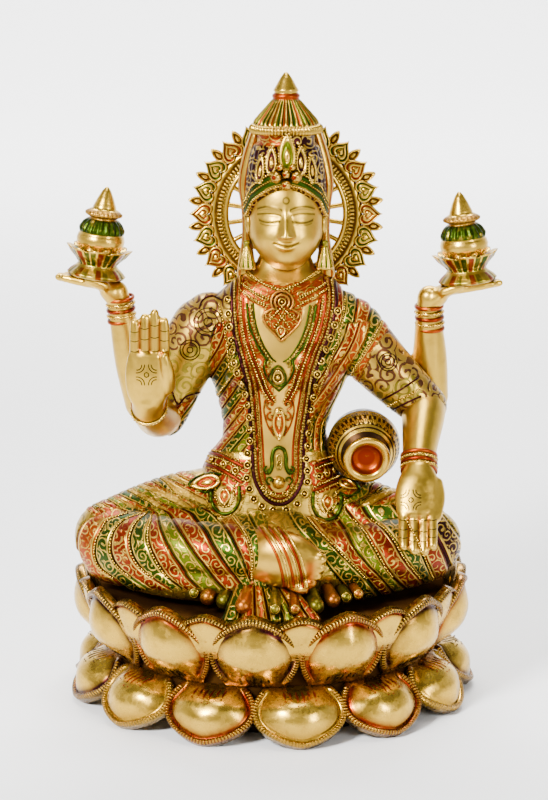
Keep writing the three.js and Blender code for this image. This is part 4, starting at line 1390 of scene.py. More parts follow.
def face_relief(x, z):
    """How far the features stand out of the smooth face, at x from its middle line."""
    side = np.abs(x)
    on_eye = 1 - smooth(5.2, 6.6, np.abs(side - EYE_SIDE))
    out = -0.5 * bell((side - 8.6) / 6.4, 1) * bell((z - EYE_HEIGHT + 0.2) / 4.2, 1)
    out += 0.7 * bell((side - EYE_SIDE) / 5.2, 1) * bell((z - EYE_HEIGHT + 1.0) / 2.9, 1)
    out -= 0.35 * bell(z - lid_height(side), 0.4) * on_eye
    out -= 0.2 * bell(z - crease_height(side), 0.5) * on_eye
    out += 0.25 * bell(z - brow_height(side), 0.8) * smooth(1.5, 3.5, side) * (1 - smooth(14, 17, side))
    bridge = smooth(287, 271, z)
    width = 2.0 + 1.1 * bridge
    out += (0.6 + 4.6 * bridge) * bell(x / width, 1) * smooth(268.8, 271.2, z) * (
        1 - smooth(282, 290, z) * 0.9
    )
    out += 1.7 * bell((side - 3.0) / 1.5, 1) * bell((z - 271.2) / 1.6, 1)
    out += 1.1 * bell(side, 5.0) * bell((z - lip_height(side) - 1.2) / 1.05, 1)
    out += 1.6 * bell(side, 4.2) * bell((z - lip_height(side) + 1.5) / 1.3, 1)
    out -= 0.8 * bell(z - lip_height(side), 0.5) * (1 - smooth(6.4, 8.0, side))
    out += 0.7 * bell(side, 5.5) * bell((z - 264.8) / 4.6, 1)
    out += 1.4 * bell(side / 5.6, 1) * bell((z - 255.4) / 3.4, 1)
    out += 0.9 * bell((side - 11.0) / 6.5, 1) * bell((z - 269.5) / 6.5, 1)
    return out


def face_paint(x, z):
    """Where the incised lines of eyes, brows, mouth and brow mark are dark."""
    side = np.abs(x)
    near_eye = np.abs(side - EYE_SIDE)
    dark = 1.0 * bell(z - lid_height(side), 0.62) * (near_eye < 6.1)
    lower = EYE_HEIGHT - 2.8 - 1.1 * np.clip(1 - ((side - EYE_SIDE) / 5.8) ** 2, 0, 1)
    dark = np.maximum(dark, 0.75 * bell(z - lower, 0.32) * (near_eye < 5.2))
    dark = np.maximum(dark, 0.95 * bell(z - crease_height(side), 0.5) * (near_eye < 7.0))
    dark = np.maximum(dark, 1.0 * bell(z - brow_height(side) - 0.6, 0.62) * ((side > 2) & (side < 16.5)))
    dark = np.maximum(dark, 0.6 * bell(z - brow_height(side) + 0.8, 0.3) * ((side > 3) & (side < 15.5)))
    dark = np.maximum(dark, 1.0 * bell(z - lip_height(side), 0.5) * (side < 7.2))
    iris = np.hypot(side - EYE_SIDE, (z - EYE_HEIGHT + 3.0) * 1.6)
    dark = np.maximum(dark, 0.5 * bell(iris - 1.0, 0.45))
    spot = np.hypot(x, z - 291.2)
    return np.maximum(dark, 0.9 * bell(spot - 1.7, 0.5))


def make_head():
    heights = np.concatenate(
        [[249.5, 249.7, 250.1], np.arange(250.5, 299, 0.45), np.linspace(299.4, 313.6, 18)]
    )
    s = np.linspace(-1, 1, 224, endpoint=False)
    angle = np.sign(s) * np.abs(s) ** 1.35 * math.pi
    a, z = np.meshgrid(angle, heights)
    radius = head_radius(a, z)
    x = radius * np.sin(a)
    front = smooth(0.05, 0.45, np.cos(a))
    radius = radius + face_relief(x, z) * front
    paint = np.zeros((*a.shape, 4))
    paint[..., :3] = BLACK
    paint[..., 3] = face_paint(x, z) * front
    rings = np.stack([HEAD_X + radius * np.sin(a), -2 - radius * np.cos(a), z], axis=-1)
    points, quads, triangles = rings_to_shell(rings)
    colour = np.vstack([paint.reshape(-1, 4), paint[0, :1], paint[-1, :1]])
    surface_parts.append((points, quads))
    Shell().add(points, quads, triangles, paint=colour).make("head", face_brass, FIGURE)
    # Hair and veil behind the face, and the earrings
    hair, rings = Shell(), Shell()
    for side in (-1, 1):
        x = HEAD_X + side * 21.0
        fall = [
            [x - side * 4, 3, 326, 3.6, 5], [x - side * 0.5, 3, 312, 4.6, 5],
            [x + side * 2.2, 3, 298, 4.2, 5]
        ]
        fall += [
            [x + side * 1.6, 3, 284, 3.0, 4.5], [x + side * 1.4, 2, 268, 2.8, 4],
            [x + side * 1.5, 2, 256, 4.4, 4], [x + side * 1.2, 2, 246, 6.0, 4]
        ]
        veil = tube(fall, steps=40, sides=32)
        folds = np.tile(np.arange(32) % 4 == 0, len(veil))
        fold_paint = np.tile(coat(ORANGE, 0.25), (len(folds) + 2, 1))
        fold_paint[: len(folds), 3] = np.where(folds, 0.95, 0.25)
        hair.add(*rings_to_shell(veil), paint=fold_paint)
        ear = ellipsoid((x + side * 0.2, -5.5, 276), (2.2, 4.0, 6.2))
        hair.add(*rings_to_shell(ear), paint=coat(GOLD, 0.0))
        drop = [
            (0.1, 267), (1.6, 266.4), (2.2, 265.2), (1.4, 263.8), (2.0, 262.8), (3.4, 258), (4.6, 253),
            (5.0, 250.6), (3.5, 249.8), (0.1, 249.6)
        ]
        stripes = [(251.5, 262.5, 20, [(GREEN, 0.9), (GOLD, 0.0)])]
        paint = banded_paint([(262.8, 267, LIME, 0.6)], stripes)
        add_turned(
            rings, dense(drop), 80, (x + side * 1.2, -8, 0), wave=fluted(20, 0.05, (251, 252), (262, 263)),
            paint=paint
        )
        bead_top = np.array([x + side * 1.2, -11, 250.5])
        for k in range(-2, 3):
            add_bead(
                rings, bead_top + np.array([1.9 * k, 0.5 * abs(k), 0]), np.array([0, -1, 0]), 0.9, 1.0,
                paint=coat(GOLD, 0.0)
            )
    back = ellipsoid((HEAD_X, 8, 276), (24.5, 14, 24.5), around=120, over=80)
    points, quads, triangles = rings_to_shell(back)
    strands = 0.5 * np.sin(np.arctan2(points[:, 0] - HEAD_X, points[:, 2] - 262) * 40)
    points = points + strands[:, None] * (points - np.array([HEAD_X, 8, 276])) / 24
    hair.add(points, quads, triangles, paint=coat(DEEP_GOLD, 0.5))
    hair.make("veil_and_ears", coloured, FIGURE)
    rings.make("earrings", coloured, FIGURE)


def fluted(count, depth, low=None, high=None):
    """A wave round a turned form, over part of its height if low and high are given."""

    def wave(radius, height, turn):
        share = np.ones_like(height)
        if low is not None:
            share = smooth(low[0], low[1], height) * (1 - smooth(high[0], high[1], height))
        return radius * (1 + depth * share * np.cos(count * turn)), height

    return wave


def dense(profile, step=0.5):
    """The same profile with extra places, so that paint and waves have points to lie on."""
    p = np.array(profile, float)
    out = [p[0]]
    for a, b in zip(p[:-1], p[1:]):
        n = max(1, int(np.linalg.norm(b - a) / step))
        out += [mix(a, b, (k + 1) / n) for k in range(n)]
    return np.array(out)


def banded_paint(bands, stripes=()):
    """Paint by height, and by angle for the (low, high, count, colours) stripes."""

    def paint(height, turn, radius):
        colour = np.zeros((*height.shape, 4))
        for low, high, c, amount in bands:
            inside = (height >= low) & (height < high)
            colour[inside] = coat(c, amount)
        for low, high, count, colours in stripes:
            sector = np.floor((turn / (2 * math.pi) * count) % count).astype(int)
            part = (turn / (2 * math.pi) * count) % 1
            for k, (c, amount) in enumerate(colours):
                use = (height >= low) & (height < high) & (sector % len(colours) == k)
                colour[use & (part > 0.18) & (part < 0.82)] = coat(c, amount)
        return colour

    return paint


CROWN_Y = -3.0


def gathered(count):
    """The pleats of the canopy: gold ridges with lacquer lying between them."""

    def paint(height, turn, radius):
        colour = np.zeros((*height.shape, 4))
        share = (turn / (2 * math.pi) * count + 0.5) % 1
        pleat = np.floor(turn / (2 * math.pi) * count + 0.5).astype(int) % 6
        deep = 1 - smooth(0.22, 0.38, 0.5 - np.abs(share - 0.5))
        for k, c in enumerate((ORANGE, GREEN, GREEN, ORANGE, LIME, GREEN)):
            colour[pleat == k, :3] = c
        pleated = (height > 332.2) & (height < 346.6)
        colour[..., 3] = np.where(pleated, deep, 0)
        neck = (height > 346.6) & (height < 350.2)
        colour[neck] = coat(ORANGE, 0.9)
        return colour

    return paint


def make_crown():
    shell = Shell()
    # The gadrooned cap, its band and the recess under the canopy
    profile = [
        (21.0, 298.5), (22.6, 299.5), (23.2, 303), (23.0, 307), (22.0, 312), (20.2, 317), (18.3, 320.5)
    ]
    profile += [(16.6, 322), (16.2, 325), (16.4, 329), (0.1, 330)]

    def arched(radius, height, turn):
        swollen = smooth(300, 306, height) * (1 - smooth(318, 321, height))
        radius = radius * (1 + 0.03 * swollen * (np.abs(np.cos(15 * turn)) - 0.5))
        return radius, height - arch_drop(turn) * (1 - smooth(301, 320, height))

    def cap_paint(height, turn, radius):
        colour = np.zeros((*height.shape, 4))
        colour[...] = coat(PURPLE, 1.0)
        recess = height > 321
        colour[recess] = np.where((turn < math.pi)[recess][:, None], coat(PURPLE, 0.95), coat(ORANGE, 0.8))
        return colour

    add_turned(
        shell, dense(profile, 0.65), 200, (HEAD_X, CROWN_Y, 0), wave=arched, paint=cap_paint, band=0.5,
        chase=1.0
    )
    shell.make("crown_cap", chased, FIGURE)
    canopy = Shell()
    pleats = 36
    profile = [
        (0.1, 327.6), (16, 327), (18.8, 332), (18.4, 333), (16.8, 335.4), (14.0, 338.8), (11.0, 342.2),
        (8.6, 345.2)
    ]
    profile += [
        (7.4, 346.8), (7.9, 347.6), (7.9, 348.8), (6.9, 349.6), (6.6, 350.4), (7.3, 351.2), (5.6, 354.2),
        (3.4, 358.2), (1.3, 361), (0.05, 361.6)
    ]
    wave = fluted(pleats, 0.045, (332.2, 334), (344.5, 346.6))
    add_turned(
        canopy, dense(profile, 1.0), 8 * pleats, (HEAD_X, CROWN_Y, 0), wave=wave,
        paint=gathered(pleats)
    )
    rim = [
        (17.0, 327.2), (18.8, 327.0), (20.0, 328.0), (20.5, 329.6), (20.2, 331.2), (19.2, 332.2),
        (17.4, 332.4)
    ]
    lobes = 64
    add_turned(
        canopy, dense(rim, 0.8), 5 * lobes, (HEAD_X, CROWN_Y, 0), wave=fluted(lobes, 0.035),
        paint=coat(GOLD, 0.0)
    )
    canopy.make("canopy", coloured, FIGURE)
    # The leaf jewels in front, and the headband's clasp
    jewels = Shell()
    jewel_leaf(
        jewels, (HEAD_X + 0.6, CROWN_Y - 24.6, 306), (HEAD_X + 0.6, CROWN_Y - 20.4, 329.5), 4.7, 2.4, LIME,
        (0, -1, 0.2)
    )
    for side in (-1, 1):
        foot = (HEAD_X + side * 8.4, CROWN_Y - 22.6, 305)
        jewel_leaf(
            jewels, foot, (HEAD_X + side * 7.6, CROWN_Y - 18.8, 322), 3.2, 1.8, PURPLE,
            (side * 0.35, -1, 0.2)
        )
        foot = (HEAD_X + side * 14.8, CROWN_Y - 18.6, 300)
        jewel_leaf(
            jewels, foot, (HEAD_X + side * 13.2, CROWN_Y - 15.6, 317), 3.0, 1.6, PURPLE,
            (side * 0.8, -1, 0.2)
        )
    cluster = (
        (0, 300.8, 3.2), (-5.6, 305.2, 3.7), (5.6, 305.2, 3.7), (0, 306.8, 2.8), (-3.4, 310.6, 2.2),
        (3.4, 310.6, 2.2),
    )
    for dx, dz, r in cluster:
        place = np.array([HEAD_X + dx, CROWN_Y - 26.6 + 0.02 * dx * dx, dz])
        add_bead(jewels, place, np.array([dx * 0.04, -1, 0.1]), r, r * 0.85, paint=coat(RED, 0.25))
        add_bead(
            jewels, place + np.array([-0.3 * r, -0.55 * r, -0.1]), np.array([-0.4, -1, 0]), 0.45 * r,
            0.4 * r, paint=coat(RED, 0.9)
        )
    jewels.make("crown_jewels", coloured, FIGURE)
    # The green headband with beaded edges
    band = Shell()
    steps = 208
    turn = np.linspace(0, 2 * math.pi, steps, endpoint=False)
    drop = arch_drop(turn)
    for height, radius, r in ((308.4, 24.0, 0.8), (300.2, 23.7, 0.8), (304.5, 24.5, 0.5)):
        for k in range(0, steps, 2):
            out = np.array([math.sin(turn[k]), -math.cos(turn[k]), 0.0])
            place = np.array([HEAD_X, CROWN_Y, height - drop[k]]) + out * radius
            add_bead(band, place, out, r, r, paint=coat(GOLD, 0.0))
    section = [
        (20.5, 299.8), (23.0, 299.4), (23.7, 300.8), (23.4, 301.6), (24.2, 302.2), (24.3, 303.6),
        (23.7, 304.0), (23.7, 304.9), (24.3, 305.3), (24.2, 307.0), (23.4, 307.6), (23.6, 308.6),
        (20.5, 309.4)
    ]
    amounts = [0, 0, 0, 0.9, 1, 0.9, 0.2, 0.2, 0.9, 1, 0.9, 0, 0]
    rings = np.array(
        [
            [[HEAD_X + r * math.sin(a), CROWN_Y - r * math.cos(a), z - d] for r, z in section]
            for a, d in zip(turn, drop)
        ]
    )
    rows, columns = rings.shape[:2]
    paint = np.array([coat(GREEN, amount) for amount in amounts])
    quads = grid_faces(rows, columns, close_rows=True, close_columns=True)[:, ::-1]
    band.add(rings.reshape(-1, 3), quads, paint=np.tile(paint, (rows, 1)))
    band.make("headband", coloured, FIGURE)


def arch_drop(angle):
    """The headband is highest over the middle of the brow and comes down before the ears."""
    side = np.where(np.cos(angle) > 0, np.abs(np.sin(angle)), 1.0)
    return 15.0 * side**2 + 5.0 * smooth(0.8, 1.0, side)


def jewel_leaf(shell, foot, tip, half, thick, colour, facing):
    """A leaf with beads set all round its edge."""
    add_leaf(shell, foot, tip, half, thick, colour, facing)
    foot, tip, facing = [np.array(v, float) for v in (foot, tip, facing)]
    facing /= np.linalg.norm(facing)
    rise = tip - foot
    side = np.cross(rise, facing)
    side /= np.linalg.norm(side)
    for v in np.linspace(0.06, 0.96, int(np.linalg.norm(rise) / 1.5)):
        width = half * math.sin(math.pi * v**0.8) ** 0.65
        for hand in (-1, 1):
            place = foot + rise * v + side * width * hand + facing * thick * 0.5
            add_bead(shell, place, facing, 0.7, 0.7, paint=coat(GOLD, 0.0))


def add_leaf(shell, foot, tip, half, thick, colour, facing):
    """A pointed leaf with a raised rim, a painted field and a raised vein."""
    foot, tip, facing = [np.array(v, float) for v in (foot, tip, facing)]
    facing /= np.linalg.norm(facing)
    rise = tip - foot
    side = np.cross(rise, facing)
    side /= np.linalg.norm(side)
    n = 26
    v = np.linspace(0, 1, n)
    width = half * np.sin(math.pi * np.clip(v, 0, 1) ** 0.8) ** 0.65
    outline = np.concatenate([np.stack([-width, v], 1), np.stack([width, v], 1)[::-1]])
    rings, colours = [], []
    levels = [
        (1.0, -1.0, 0), (1.0, 0.4, 0), (0.9, 1.0, 0), (0.72, 0.9, 0), (0.62, 0.35, 0.9), (0.4, 0.3, 0.9),
        (0.3, 0.85, 0), (0.12, 0.95, 0)
    ]
    for s, out, amount in levels:
        up = 0.42 + (outline[:, 1:] - 0.42) * s
        p = foot + rise * up + side * outline[:, :1] * s + facing * out * thick
        rings.append(p)
        colours.append(np.tile(coat(colour, amount), (len(p), 1)))
    points, quads, triangles = rings_to_shell(np.array(rings))
    colours = np.vstack(colours)
    shell.add(
        points, quads[:, ::-1], triangles[:, ::-1], paint=np.vstack([colours, colours[:1], colours[-1:]])
    )


# Halo

HALO_CENTRE = (HEAD_X, 277.0)
HALO_BACK = 29.3
HEARTS = 22
SPOKES = 20


def make_halo():
    plate, beads = Shell(), Shell()
    turn = np.linspace(0, 2 * math.pi, 220, endpoint=False)
    # Flat ring with a raised inner rim: (radius, how far in front of the back)
    section = [
        (33.4, 0), (33.2, 3.2), (34.0, 4.0), (35.2, 4.0), (36.0, 3.2), (36.6, 2.8), (40.4, 2.8),
        (41.0, 3.4), (42.2, 3.6), (43.2, 3.0), (44.6, 2.2), (44.6, 0)
    ]
    rings = np.array(
        [
            [
                [HALO_CENTRE[0] + r * math.cos(a), HALO_BACK - y, HALO_CENTRE[1] + r * math.sin(a)]
                for r, y in section
            ]
            for a in turn
        ]
    )
    paint = np.array([coat(PURPLE, 0.55 if k in (4, 6, 7) else 0.0) for k in range(len(section))])
    plate.add(
        rings.reshape(-1, 3), grid_faces(len(turn), len(section), close_rows=True, close_columns=True),
        paint=np.tile(paint, (len(turn), 1))
    )
    for k in range(SPOKES):
        a = 2 * math.pi * (k + 0.5) / SPOKES
        c, s = math.cos(a), math.sin(a)
        places = [
            [HALO_CENTRE[0] + r * c, HALO_BACK - 1.7, HALO_CENTRE[1] + r * s, w, 1.5]
            for r, w in ((20, 2.3), (27, 1.7), (34, 2.0))
        ]
        plate.add(*rings_to_shell(tube(places, across=(0, 1, 0), steps=8, sides=10)), paint=coat(GOLD, 0.0))
    add_disc(plate, 22.5)
    for k in range(110):
        a = 2 * math.pi * k / 110
        for radius in (37.8, 38.5, 39.2):
            place = np.array(
                [
                    HALO_CENTRE[0] + radius * math.cos(a), HALO_BACK - 3.2,
                    HALO_CENTRE[1] + radius * math.sin(a)
                ]
            )
            add_bead(beads, place, np.array([0, -1.0, 0]), 0.98, 1.5, paint=coat(GOLD, 0.0))
    plate.make("halo_ring", gilt, HALO)
    beads.make("halo_beads", bead_gold, HALO)
    hearts = Shell()
    colours = [RED, GREEN, GREEN, RED, GREEN, RED, GREEN, GREEN, RED, GREEN, RED]
    for k in range(HEARTS):
        a = math.pi / 2 - 2 * math.pi * (k + 0.5) / HEARTS
        add_heart(hearts, a, 49.2, 8.1, colours[k % len(colours)])
        b = a - math.pi / HEARTS
        add_tip_leaf(hearts, b)
    hearts.make("halo_hearts", gilt, HALO)


def add_disc(shell, radius):
    turn = np.linspace(0, 2 * math.pi, 60, endpoint=False)
    rings = np.array(
        [
            [
                [HALO_CENTRE[0] + r * math.cos(a), HALO_BACK - y, HALO_CENTRE[1] + r * math.sin(a)]
                for a in turn
            ]
            for r, y in ((radius - 1, 0), (radius, 1), (radius, 2.2), (radius - 1, 3))
        ]
    )
    points, quads, triangles = rings_to_shell(rings)
    shell.add(points, quads, triangles, paint=coat(GOLD, 0.0))


def heart_outline(n=34):
    t = np.linspace(0, 2 * math.pi, n, endpoint=False)
    x = np.sin(t) ** 3
    y = (13 * np.cos(t) - 5 * np.cos(2 * t) - 2 * np.cos(3 * t) - np.cos(4 * t)) / 17
    return np.stack([x, -y], axis=1)


def add_heart(shell, angle, middle, size, colour):
    """A heart with its point outward: rim, painted ground, a curl inside and a bead."""
    outline = heart_outline()
    c, s = math.cos(angle), math.sin(angle)

    def place(scale, height):
        u, v = outline[:, 0] * scale * size * 0.83, (outline[:, 1] * scale - 0.12) * size
        radius = middle + v
        x = HALO_CENTRE[0] + radius * c - u * s
        z = HALO_CENTRE[1] + radius * s + u * c
        return np.stack([x, np.full(len(u), HALO_BACK - height), z], axis=1)

    levels = [
        (1.0, 0.2, 0), (1.02, 2.6, 0), (0.98, 4.2, 0), (0.86, 4.5, 0), (0.80, 4.2, 0.7), (0.74, 3.7, 1.0),
        (0.68, 3.7, 0.9), (0.62, 4.3, 0.1), (0.44, 4.4, 0), (0.38, 4.1, 0.8), (0.30, 3.9, 0.9),
        (0.24, 4.2, 0), (0.05, 4.6, 0)
    ]
    rings = np.array([place(a, b) for a, b, _ in levels])
    points, quads, triangles = rings_to_shell(rings)
    paint = np.vstack([np.tile(coat(colour, amount), (len(outline), 1)) for _, _, amount in levels])
    shell.add(points, quads, triangles, paint=np.vstack([paint, paint[:1], paint[-1:]]))


def add_tip_leaf(shell, angle):
    c, s = math.cos(angle), math.sin(angle)

    def at(radius, height):
        return (HALO_CENTRE[0] + radius * c, HALO_BACK - height, HALO_CENTRE[1] + radius * s)

    add_leaf(shell, at(47, 1.2), at(57.4, 1.4), 2.8, 1.2, DEEP_GOLD, (0, -1, 0))


# Pots

POT_PROFILE = [
    (0.1, 0), (15.5, 0.6), (16.6, 2.2), (15.0, 4.2), (12.2, 6.6), (11.2, 8.2), (12.6, 10.2), (16.2, 13.6),
    (18.6, 17.0), (19.2, 17.8),
    (18.0, 17.6), (14.0, 15.6), (11.5, 15.0), (12.4, 17.0), (13.6, 20.0), (13.9, 22.6), (13.2, 25.0),
    (12.6, 25.8), (12.8, 26.6),
    (12.6, 29.0), (11.0, 32.0), (9.0, 34.0), (7.6, 34.8), (8.6, 35.6), (10.4, 36.6), (10.6, 37.8),
    (8.6, 39.4), (6.8, 40.4),
    (6.6, 41.6), (4.6, 46.5), (2.6, 50.6), (1.0, 52.6), (0.05, 53),
]


def pot_wave(radius, height, turn):
    lotus = smooth(8, 12, height) * (1 - smooth(17.9, 18.6, height)) * (radius > 12.7)
    petals = np.abs(np.cos(4 * turn))
    radius = radius * (1 - 0.14 * lotus * (1 - petals))
    height = height - 1.8 * lotus * (1 - petals) ** 2
    low = 1 - smooth(5, 8, height)
    radius = radius * (1 + 0.05 * low * (np.abs(np.cos(4 * turn)) - 0.5))
    lid = smooth(26.8, 28, height) * (1 - smooth(33, 34.5, height))
    radius = radius * (1 + 0.045 * lid * np.cos(20 * turn))
    collar = smooth(35.2, 36, height) * (1 - smooth(38.6, 39.6, height))
    radius = radius * (1 + 0.03 * collar * np.cos(26 * turn))
    return radius, height


def make_small_pots():
    shell = Shell()
    paint = banded_paint(
        [(26.6, 34.4, GREEN, 0.75), (34.4, 39.5, RED, 0.45), (0.5, 8, LIME, 0.35)],
        [
            (7.5, 16.2, 24, [(RED, 0.75), (GREEN, 0.7), (GREEN, 0.75)]),
            (1.0, 6.6, 24, [(RED, 0.7), (GREEN, 0.6), (LIME, 0.4)])
        ],
    )
    for centre, lean in (((-101.5, 6, 177 + SEAT), 8.0), ((113, 6, 174 + SEAT), -6.5)):
        add_turned(shell, dense(POT_PROFILE, 0.85), 120, centre, lean=lean, wave=pot_wave, paint=paint)
    shell.make("small_pots", coloured, FIGURE)


TIPPED_AT = np.array([53.0, -6.0, 81.0 + SEAT])
TIPPED_BY = math.radians(99)
TIPPED_ASIDE = math.radians(3)


def make_tipped_pot():
    profile = [
        (0.1, -19), (9, -17.6), (15, -14), (19.2, -8), (21.2, 0), (20.6, 6), (18, 12), (14.2, 16),
        (11.4, 18.2), (11.0, 19.4), (12.6, 21.6), (13.6, 23.2), (13.4, 24.6), (12.4, 25.4), (11.0, 25.2),
        (9.2, 24.4), (8.6, 22.4), (7.6, 20.6), (5.4, 19.4), (3.0, 19.0), (0.1, 18.9)
    ]
    shell = Shell()

    def paint(height, turn, radius):
        colour = np.zeros((*height.shape, 4))
        body = (height < 18.6) & (radius > 10.9)
        colour[body] = coat(UMBER, 0.95)
        saw = np.abs(((turn / (2 * math.pi) * 22) % 1) * 2 - 1)
        level = (height - 2.5) / 10
        zigzag = (np.abs(saw - level) < 0.13) | (np.abs(1 - saw - level) < 0.07)
        border = (np.abs(height - 1.8) < 0.5) | (np.abs(height - 13.2) < 0.45) | (np.abs(height - 15.2) < 0.4)
        dots = (np.abs(height + 1.2) < 0.9) & (saw > 0.62)
        colour[body & (((level > 0) & (level < 1) & zigzag) | border | dots)] = coat(GOLD, 0.0)
        mouth = (height > 18.6) & (radius > 8.9)
        colour[mouth] = coat(ORANGE, 0.12)
        inside = (height > 18.8) & (radius <= 8.9)
        colour[inside] = coat(ORANGE, 0.85)
        middle = (height > 18.8) & (radius < 4.8)
        colour[middle] = coat(RED, 0.9)
        return colour

    local = Shell()
    add_turned(local, dense(profile, 0.75), 176, (0, 0, 0), paint=paint)
    x, y, z = np.vstack(local.points).T
    y, z = rotated(y, z, TIPPED_BY)
    x, y = rotated(x, y, TIPPED_ASIDE)
    points = np.stack([x, y, z], axis=1) + TIPPED_AT
    shell.add(points, local.quads[0], local.triangles[0], paint=local.values["paint"][0][1])
    surface_parts.append((points, local.quads[0]))
    shell.make("tipped_pot", coloured, FIGURE)


# Foot and the hem's fan

FOOT = [
    (256, 556, -72, 15.5, 12), (274, 558, -79, 16.5, 11.5), (292, 560, -84, 15.5, 9.5),
    (308, 565, -87, 11.5, 7.0), (315, 569, -88, 9.0, 5.0)
]
TOES = [(322, 559, 4.0), (321.5, 568.5, 3.4), (318.5, 576.5, 3.1), (313.5, 583.5, 2.9), (307, 589.5, 2.7)]


# Each toe's root, middle and tip: pixels left and above of the toe's own, depth and width
TOE_STATIONS = ((17, 4, -84, 1.0), (7, 0.5, -89, 1.0), (2, 0, -90, 0.95))
TOE_COLUMN = 310
TOE_ROWS = (556, 566)
ANKLE_ROWS = (534, 556)


def make_foot():
    forms = [pixel_tube(FOOT, across=(0, 0, 1), steps=40, sides=48)]
    for x, y, r in TOES:
        toe = [
            [*place_at(x - left, y - up, depth), r * wide, r * wide]
            for left, up, depth, wide in TOE_STATIONS
        ]
        forms.append(tube(toe, steps=16, sides=20))
    points, _, quads = fuse(forms, FOOT_MESH, 2)
    surface_parts.append((points, quads))
    px, py = seen(points)
    paint = np.tile(coat(ORANGE, 0.0), (len(px), 1))
    between_toes = bell(px - TOE_COLUMN, 6) * smooth(*TOE_ROWS, py)
    ankle = 1 - smooth(*ANKLE_ROWS, py)
    paint[:, 3] = np.clip(0.9 * between_toes + 0.35 * ankle + 0.1, 0, 1)
    Shell().add(points, quads, paint=paint).make("foot", satin_skin, FIGURE)


def make_hem():
    """The fan of the skirt's hem that hangs over the seat's front edge."""
    rows = [
        (-15, -1, -66, 23, 0.6), (-19, 8, -76, 20, 1.2), (-23, 17, -88, 13.5, 2.2),
        (-27, 26, -98, 5.5, 3.0), (-28, 27, -99.5, 2.5, 3.2)
    ]
    p = spline(rows, 26)
    across = 148
    folds = 7
    t = np.linspace(0, 1, across)
    share = (t**1.15 * folds) % 1
    fold = np.minimum(t**1.15 * folds, folds - 1e-6).astype(int)
    wave = np.sin(math.pi * share) ** 0.7
    colours = np.array([(GREEN, RED, ORANGE, GREEN, LIME, ORANGE, RED)[k] for k in fold])
    front, paint, bands = [], [], []
    for x0, x1, y, z, ridge in p:
        bow = 4.0 * (1 - (2 * t - 1) ** 2)
        front.append(
            np.stack([mix(x0, x1, t), y - ridge * wave - bow * 0.5, z + SEAT + ridge * wave * 0.4], axis=1)
        )
        paint.append(np.concatenate([colours, np.full((across, 1), 0.95)], axis=1))
        bands.append(fold + 1 + np.clip(share, 0.02, 0.98))
    front = np.array(front)
    back = front + np.array([0, 5, -3])
    size = front.shape[0] * across
    points = np.vstack([front.reshape(-1, 3), back.reshape(-1, 3)])
    quads = grid_faces(len(p), across)
    left = np.arange(len(p) - 2, 0, -1) * across
    right = np.arange(1, len(p)) * across + across - 1
    foot = (len(p) - 1) * across + np.arange(across - 2, -1, -1)
    rim = np.concatenate([np.arange(across), right, foot, left])
    nxt = np.roll(rim, -1)
    walls = np.stack([nxt, rim, rim + size, nxt + size], axis=1)
    colour = np.vstack(paint + paint)
    band = np.concatenate(bands + bands)
    faces = np.vstack([quads[:, ::-1], quads + size, walls[:, ::-1]])
    Shell().add(points, faces, paint=colour, band=band, chase=0.9).make("hem_fan", chased, FIGURE)


def skin_material(name, roughness, shut_in):
    """Bare satin brass whose incised lines hold dark colour."""
    n = Nodes(name)
    paint = n.attribute("paint")
    metal = tarnish(n, PALE_GOLD, DEEP_GOLD, 0.25)
    base = n.mix(n.math("MULTIPLY", paint.outputs["Alpha"], 0.9), metal, paint.outputs["Color"])
    n.feed(n.shader.inputs["Base Color"], shaded(n, base, SKIN_SHADE, shut_in))
    n.shader.inputs["Metallic"].default_value = 1.0
    n.link(
        n.ramp(n.noise(n.place(), 0.3, 3.0), 0.35, 0.7, roughness, roughness + 0.08),
        n.shader.inputs["Roughness"]
    )
    n.link(n.bump(n.noise(n.place(), 0.22, 3.0), 0.08), n.shader.inputs["Normal"])
    return n.material


satin_skin = skin_material("skin_brass", 0.28, 0.75)
face_brass = skin_material("face_brass", 0.31, 0.4)
surface_parts = []

# Ornaments, each laid on the surface behind its line in the photograph

# Bead rows: the pitch, the radius and how far they stand out
PANEL_OUTER_BEADS = (1.75, 0.92, 0.5)
PANEL_INNER_BEADS = (1.65, 0.80, 0.45)
COLLAR_TOP_BEADS = (1.75, 0.85, 0.5)
COLLAR_BEADS = (1.6, 0.75, 0.5)
COLLAR_FINE_BEADS = (1.55, 0.7, 0.4)
PENDANT_BEADS = (1.6, 0.75, 0.7)
GREEN_CHAIN_BEADS = (1.75, 0.85, 0.6)
LONG_CHAIN_BEADS = (1.6, 0.8, 0.55)
BELT_OUTER_BEADS = (1.7, 0.75, 0.4)
BELT_INNER_BEADS = (1.7, 0.7, 0.4)
LOOP_INNER_BEADS = (1.6, 0.7, 0.6)
LOOP_OUTER_BEADS = (1.5, 0.62, 0.3)
SKIRT_BEADS = (1.75, 0.82, 0.35)
SHAWL_BEADS = (1.7, 0.75, 0.3)

# Cords: half their width, their height and how far they stand out
PANEL_CORD = (1.15, 0.6, 0.0)
PANEL_LINE = (0.5, 0.35, 0.0)
PANEL_INNER_CORD = (0.7, 0.5, 0.0)
COLLAR_CORD = (0.5, 0.8, 0.1)
COLLAR_LINE = (0.4, 0.5, 0.1)
PENDANT_LOOP = (0.75, 1.0, 0.5)
PENDANT_EDGE = (0.75, 1.0, 0.4)
PENDANT_CURL = (0.5, 0.8, 0.4)
CHAIN_INNER_LINE = (0.45, 0.6, 0.2)
CHAIN_OUTER_CORD = (0.7, 0.7, 0.2)
CHAIN_TAIL = (0.6, 0.9, 0.2)
CHAIN_CURL = (0.55, 0.9, 0.3)
DROP_CORD = (0.7, 1.0, 0.4)
LONG_CHAIN_LINE = (0.45, 0.6, 0.1)
LOWER_CURL = (0.6, 1.0, 0.3)
SMALL_CURL = (0.5, 0.8, 0.3)
LOWER_EDGE = (0.45, 0.7, 0.2)
BUCKLE_ARCH = (1.2, 1.3, 0.2)
BUCKLE_CURL = (0.6, 0.9, 0.3)
